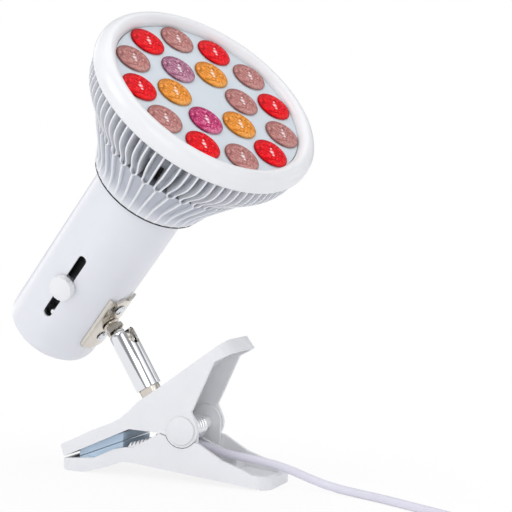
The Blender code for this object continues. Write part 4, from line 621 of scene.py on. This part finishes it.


# Painted shade of the sink, in millimetres: the valleys darken below the crests as painted shade, fading out
# on the bell towards the tube; the inside within a radius is painted dark as shade
PAINTED_SHADE_SPAN, FADE_START, FADE_SPAN, PAINTED_SHADE_RADIUS = 1.6, 56.0, 8.0, 40.0
# The sink's enamel with painted shade in its valleys, darkest at this grey tone
FINISH["sink_enamel"] = painted_shade_finish("sink_enamel_painted_shade", FINISH["sink_enamel"], (0.50, 0.52, 0.57))
inward = lamp.inverted()
for name, form, node, crest in (("sink_fins", fins, "heat_sink_fins", TIP),
                                ("sink_bell", bell, "heat_sink_bell", RIB)):
    data = form()
    # Painted light level per point: one on the crests, falling as painted shade down into the valleys; on
    # the bell it rises back to one towards the tube
    held = data.attributes.new("painted_light_level", "FLOAT", "POINT")
    for point, vertex in zip(held.data, data.vertices):
        back, out = -vertex.co.z * 1000, vertex.co.xy.length * 1000
        light = 1.0 - (blended(crest, back) - out) / PAINTED_SHADE_SPAN
        if name == "sink_bell":
            light = max(light, (back - FADE_START) / FADE_SPAN)
        point.value = max(0.0, min(1.0, light))
    mesh_object(name, data, "bulb", "sink_enamel", node, place=lamp)
    # Faces inside the radius take the near-black painted shade of the vents
    data.materials.append(FINISH["sink_vent_painted_shade"])
    if name == "sink_fins":
        for face in data.polygons:
            if (inward @ face.center).xy.length < PAINTED_SHADE_RADIUS / 1000:
                face.material_index = 1

# Bezel, as (radius, height) in millimetres
BEZEL_SIDES = 128
BEZEL_LINE = (
    (51.8, -6.5), (51.85, 0.2), (51.95, 1.0), (52.4, 2.0), (53.2, 2.95), (54.1, 3.6), (55.2, 3.98),
    (56.3, 3.95), (57.6, 3.45), (58.8, 2.6), (59.8, 1.5), (60.6, 0.2), (61.05, -1.2), (61.2, -2.6),
    (61.15, -4.0), (60.95, -5.1), (60.5, -5.9), (59.7, -6.4), (58.8, -6.5),
)
bezel_rings = [circle(*mm(r, z), BEZEL_SIDES) for r, z in BEZEL_LINE]
mesh_object("bezel_ring", loft("bezel_ring", bezel_rings, 50.0, closed=True), "bulb", "white_gloss", "bezel",
            place=lamp)

# Lenses, their line as shares of radius and rise
LENS_RADIUS, LENS_RISE, FACE_DROP, LENS_SIDES = 0.0094, 0.0013, 0.0008, 40
LENS_TURN = math.radians(-170.64)
LENS_LINE = (
    (0.0, -0.02), (0.97, -0.02), (1.0, 0.04), (1.0, 0.22), (0.975, 0.40), (0.92, 0.58), (0.84, 0.72),
    (0.72, 0.84), (0.56, 0.93), (0.38, 0.98), (0.2, 1.0), (0.12, 0.94), (0.0, 0.9),
)
LENS_RINGS = (
    ("outer", 12, 0.04195, ("lens_red", "lens_pale")),
    ("inner", 6, 0.02085, ("lens_mauve", "lens_orange", "lens_pale", "lens_orange", "lens_magenta",
                           "lens_orange")),
)


def lens_data(name):
    """A shallow lens that carries the place of each point on it, in lens radii."""
    data = loft(name, [circle(LENS_RADIUS * r, LENS_RISE * h, LENS_SIDES) for r, h in LENS_LINE], 60.0)
    held = data.attributes.new("lens_place", "FLOAT_VECTOR", "POINT")
    for point, vertex in zip(held.data, data.vertices):
        point.vector = (vertex.co.x / LENS_RADIUS, vertex.co.y / LENS_RADIUS, 0.0)
    return data


for ring, count, radius, finishes in LENS_RINGS:
    for k in range(count):
        a = LENS_TURN - 2 * math.pi * k / count
        place = lamp @ Matrix.Translation((radius * math.cos(a), radius * math.sin(a), GAP - FACE_DROP))
        name = f"lens_look_{ring}_{k + 1:02d}"
        mesh_object(name, lens_data(name), "bulb", finishes[k % len(finishes)],
                    f"lens_{ring}_{k + 1:02d}", place=place)

# White stop at the slot's lower end, a ball sunk into the tube
TUBE_RADIUS, STOP_RADIUS, STOP_PLACE, STOP_SIDE = 0.0254, 0.0013, 0.1474, 0.0022
STOP_STANDS_IN, STOP_SIDES = 0.7, 20
knob_out = lamp.to_3x3().inverted() @ Vector(joints["knob_turn"]["axis"])
stop_turn = math.atan2(knob_out.y, knob_out.x) + STOP_SIDE / TUBE_RADIUS
stop_lifts = [step * math.pi / 16 for step in range(-7, 8)]
stop_rings = [circle(STOP_RADIUS * math.cos(a), STOP_RADIUS * math.sin(a), STOP_SIDES) for a in stop_lifts]
mesh_object("slot_stop", loft("slot_stop", stop_rings), "head", "white_gloss",
            place=lamp @ Matrix.Rotation(stop_turn, 4, "Z") @ Matrix.Translation(
                (TUBE_RADIUS - STOP_RADIUS * STOP_STANDS_IN, 0.0, -STOP_PLACE)))

# Painted shadow line: a thin dark ring on the bell's rear shoulder, over the tube's mouth, standing for the
# shade where the bell meets the tube
SHADOW_LINE_RADIUS, SHADOW_LINE_HALF, SHADOW_LINE_PLACE, SHADOW_LINE_SIDES = 0.03088, 0.00045, 0.0620, 96
shadow_line_rings = [circle(SHADOW_LINE_RADIUS + SHADOW_LINE_HALF * math.cos(k * math.pi / 4),
                     -SHADOW_LINE_PLACE + SHADOW_LINE_HALF * math.sin(k * math.pi / 4), SHADOW_LINE_SIDES) for k in range(8)]
mesh_object("shadow_line_ring", loft("shadow_line_ring", shadow_line_rings, closed=True), "bulb", "black_plastic", place=lamp)

# Finishes of the nodes shown as the model has them
DRESSED = {
    "lower_lever": "white_plastic", "upper_lever": "white_plastic", "pivot_cap_near": "white_plastic",
    "pivot_cap_far": "white_plastic", "spring_sleeve": "white_plastic", "pivot_pin": "spring_steel",
    "lower_pad": "pad_rubber", "upper_pad": "pad_rubber", "cord_bushing": "cord_white",
    "cord_tie": "tie_black", "plug_body": "cord_white", "plug_pin_1": "zinc", "plug_pin_2": "zinc",
    "collar": "nickel", "collar_nut": "zinc", "swivel_tube": "chrome", "ball_seat": "brass",
    "seat_plug": "zinc", "neck_washer": "zinc", "ball_stud": "nickel", "bracket_plate": "nickel",
    "bracket_screw_upper": "zinc", "bracket_screw_lower": "zinc", "tube_housing": "tube_enamel",
    "socket_body": "black_plastic", "socket_shell": "brass", "socket_contact": "brass", "slide_nut": "zinc",
    "height_knob": "white_gloss", "cap_insulator": "glass_insulator", "cap_shell": "zinc",
    "tip_contact": "zinc", "driver_housing": "white_plastic", "face_plate": "face_white",
    "led_board": "board_green",
}
for node, finish in DRESSED.items():
    dress(node, finish)


# Floor
def seen_directly(tree, links):
    """One for what the camera sees straight, in metal or through glass, and nought for light on things."""
    path = tree.new("ShaderNodeLightPath")
    held = path.outputs["Is Camera Ray"]
    for ray in ("Is Glossy Ray", "Is Transmission Ray"):
        held = calculated(tree, links, "MAXIMUM", held, path.outputs[ray])
    return held


# Distances from the middle between which the floor's glow rises, and the glow at each
FLOOR_FADE = (0.06, 0.24, 0.86, 1.0)
FLOOR_HALF, FLOOR_DROP = 6, 0.0002
floor_data = bpy.data.meshes.new("floor")
floor_data.from_pydata([(-FLOOR_HALF, -FLOOR_HALF, 0), (FLOOR_HALF, -FLOOR_HALF, 0),
                        (FLOOR_HALF, FLOOR_HALF, 0), (-FLOOR_HALF, FLOOR_HALF, 0)], [], [(0, 1, 2, 3)])
floor = bpy.data.objects.new("floor", floor_data)
scene.collection.objects.link(floor)
floor.location.z = -FLOOR_DROP
floor_material, tree, links, principled = shader("floor_white")
principled.inputs["Base Color"].default_value = (0.92, 0.92, 0.93, 1.0)
principled.inputs["Roughness"].default_value = 0.9
glow = tree.new("ShaderNodeEmission")
glow.inputs["Color"].default_value = (1.0, 1.0, 1.0, 1.0)
away = tree.new("ShaderNodeVectorMath")
away.operation = "LENGTH"
links.new(tree.new("ShaderNodeTexCoord").outputs["Object"], away.inputs[0])
fade = ranged(tree, links, away.outputs["Value"], *FLOOR_FADE)
glowing = calculated(tree, links, "MULTIPLY", seen_directly(tree, links), fade)
links.new(shader_mix(tree, links, glowing, principled.outputs["BSDF"], glow.outputs["Emission"]),
          tree["Material Output"].inputs["Surface"])
floor_data.materials.append(floor_material)

# World: soft light on things, plain white where it is seen
world = bpy.data.worlds.new("studio")
scene.world = world
world.use_nodes = True
tree, links = world.node_tree.nodes, world.node_tree.links
background = tree["Background"]
background.inputs["Color"].default_value = (0.93, 0.95, 1.0, 1.0)
background.inputs["Strength"].default_value = 0.62
plain = tree.new("ShaderNodeBackground")
plain.inputs["Color"].default_value = (1.0, 1.0, 1.0, 1.0)
plain.inputs["Strength"].default_value = 1.0
open_sky = shader_mix(tree, links, seen_directly(tree, links), background.outputs["Background"],
                      plain.outputs["Background"])

# Dark and light cards of the studio, seen only in metal: strength by angle round the upright, from behind
CARDS = (
    (0.0, 0.30), (0.06, 0.34), (0.09, 0.60), (0.12, 0.32), (0.15, 0.80), (0.22, 0.72), (0.27, 0.42),
    (0.38, 0.50), (0.42, 0.22), (0.45, 0.62), (0.50, 0.72), (0.54, 0.30), (0.58, 0.40), (0.62, 1.0),
    (0.70, 0.98), (0.74, 0.36), (0.82, 0.22), (0.87, 0.80), (0.93, 0.45), (1.0, 0.30),
)
CARD_TINT = (1.0, 1.01, 1.03)
coords = tree.new("ShaderNodeTexCoord")
facing = []
for axis in (camera_axes[0], camera_axes[2]):
    along = tree.new("ShaderNodeVectorMath")
    along.operation = "DOT_PRODUCT"
    along.inputs[1].default_value = axis
    links.new(coords.outputs["Generated"], along.inputs[0])
    facing.append(along.outputs["Value"])
turn = calculated(tree, links, "ARCTAN2", *facing)
cards = tree.new("ShaderNodeValToRGB")
first, last = cards.color_ramp.elements
for element, (position, level) in ((first, CARDS[0]), (last, CARDS[-1])):
    element.position = position
    element.color = (level, level, level, 1.0)
for position, level in CARDS[1:-1]:
    cards.color_ramp.elements.new(position).color = (*[level * part for part in CARD_TINT], 1.0)
links.new(ranged(tree, links, turn, -math.pi, math.pi, 0.0, 1.0, smooth=False), cards.inputs["Fac"])
studio = tree.new("ShaderNodeBackground")
links.new(cards.outputs["Color"], studio.inputs["Color"])
in_metal = tree.new("ShaderNodeLightPath").outputs["Is Glossy Ray"]
links.new(shader_mix(tree, links, in_metal, open_sky, studio.outputs["Background"]),
          tree["World Output"].inputs["Surface"])


# Studio lights
def area(name, place, target, size, power):
    data = bpy.data.lights.new(name, "AREA")
    data.shape = "RECTANGLE"
    data.size, data.size_y = size
    data.energy = power
    made = bpy.data.objects.new(name, data)
    scene.collection.objects.link(made)
    made.location = place
    made.rotation_mode = "QUATERNION"
    made.rotation_quaternion = (Vector(place) - Vector(target)).to_track_quat("Z", "Y")


area("key_left", (-0.9, -1.0, 1.1), (0.0, 0.0, 0.1), (0.9, 0.9), 7.5)
area("fill_right", (1.3, -0.6, 0.9), (0.0, 0.0, 0.1), (0.6, 1.2), 2.0)
area("top", (0.1, 0.2, 1.5), (0.0, 0.0, 0.1), (1.2, 1.2), 5.0)
area("front", (0.5, -1.5, 0.5), (0.0, 0.0, 0.1), (0.9, 0.9), 4.0)
area("rim_left", (-1.0, 0.7, 0.4), (0.0, 0.0, 0.12), (0.5, 0.9), 1.2)
area("rim_right", (1.0, 0.8, 0.4), (0.0, 0.0, 0.12), (0.5, 0.9), 1.2)

scene.view_settings.view_transform = "Standard"

bpy.context.view_layer.update()
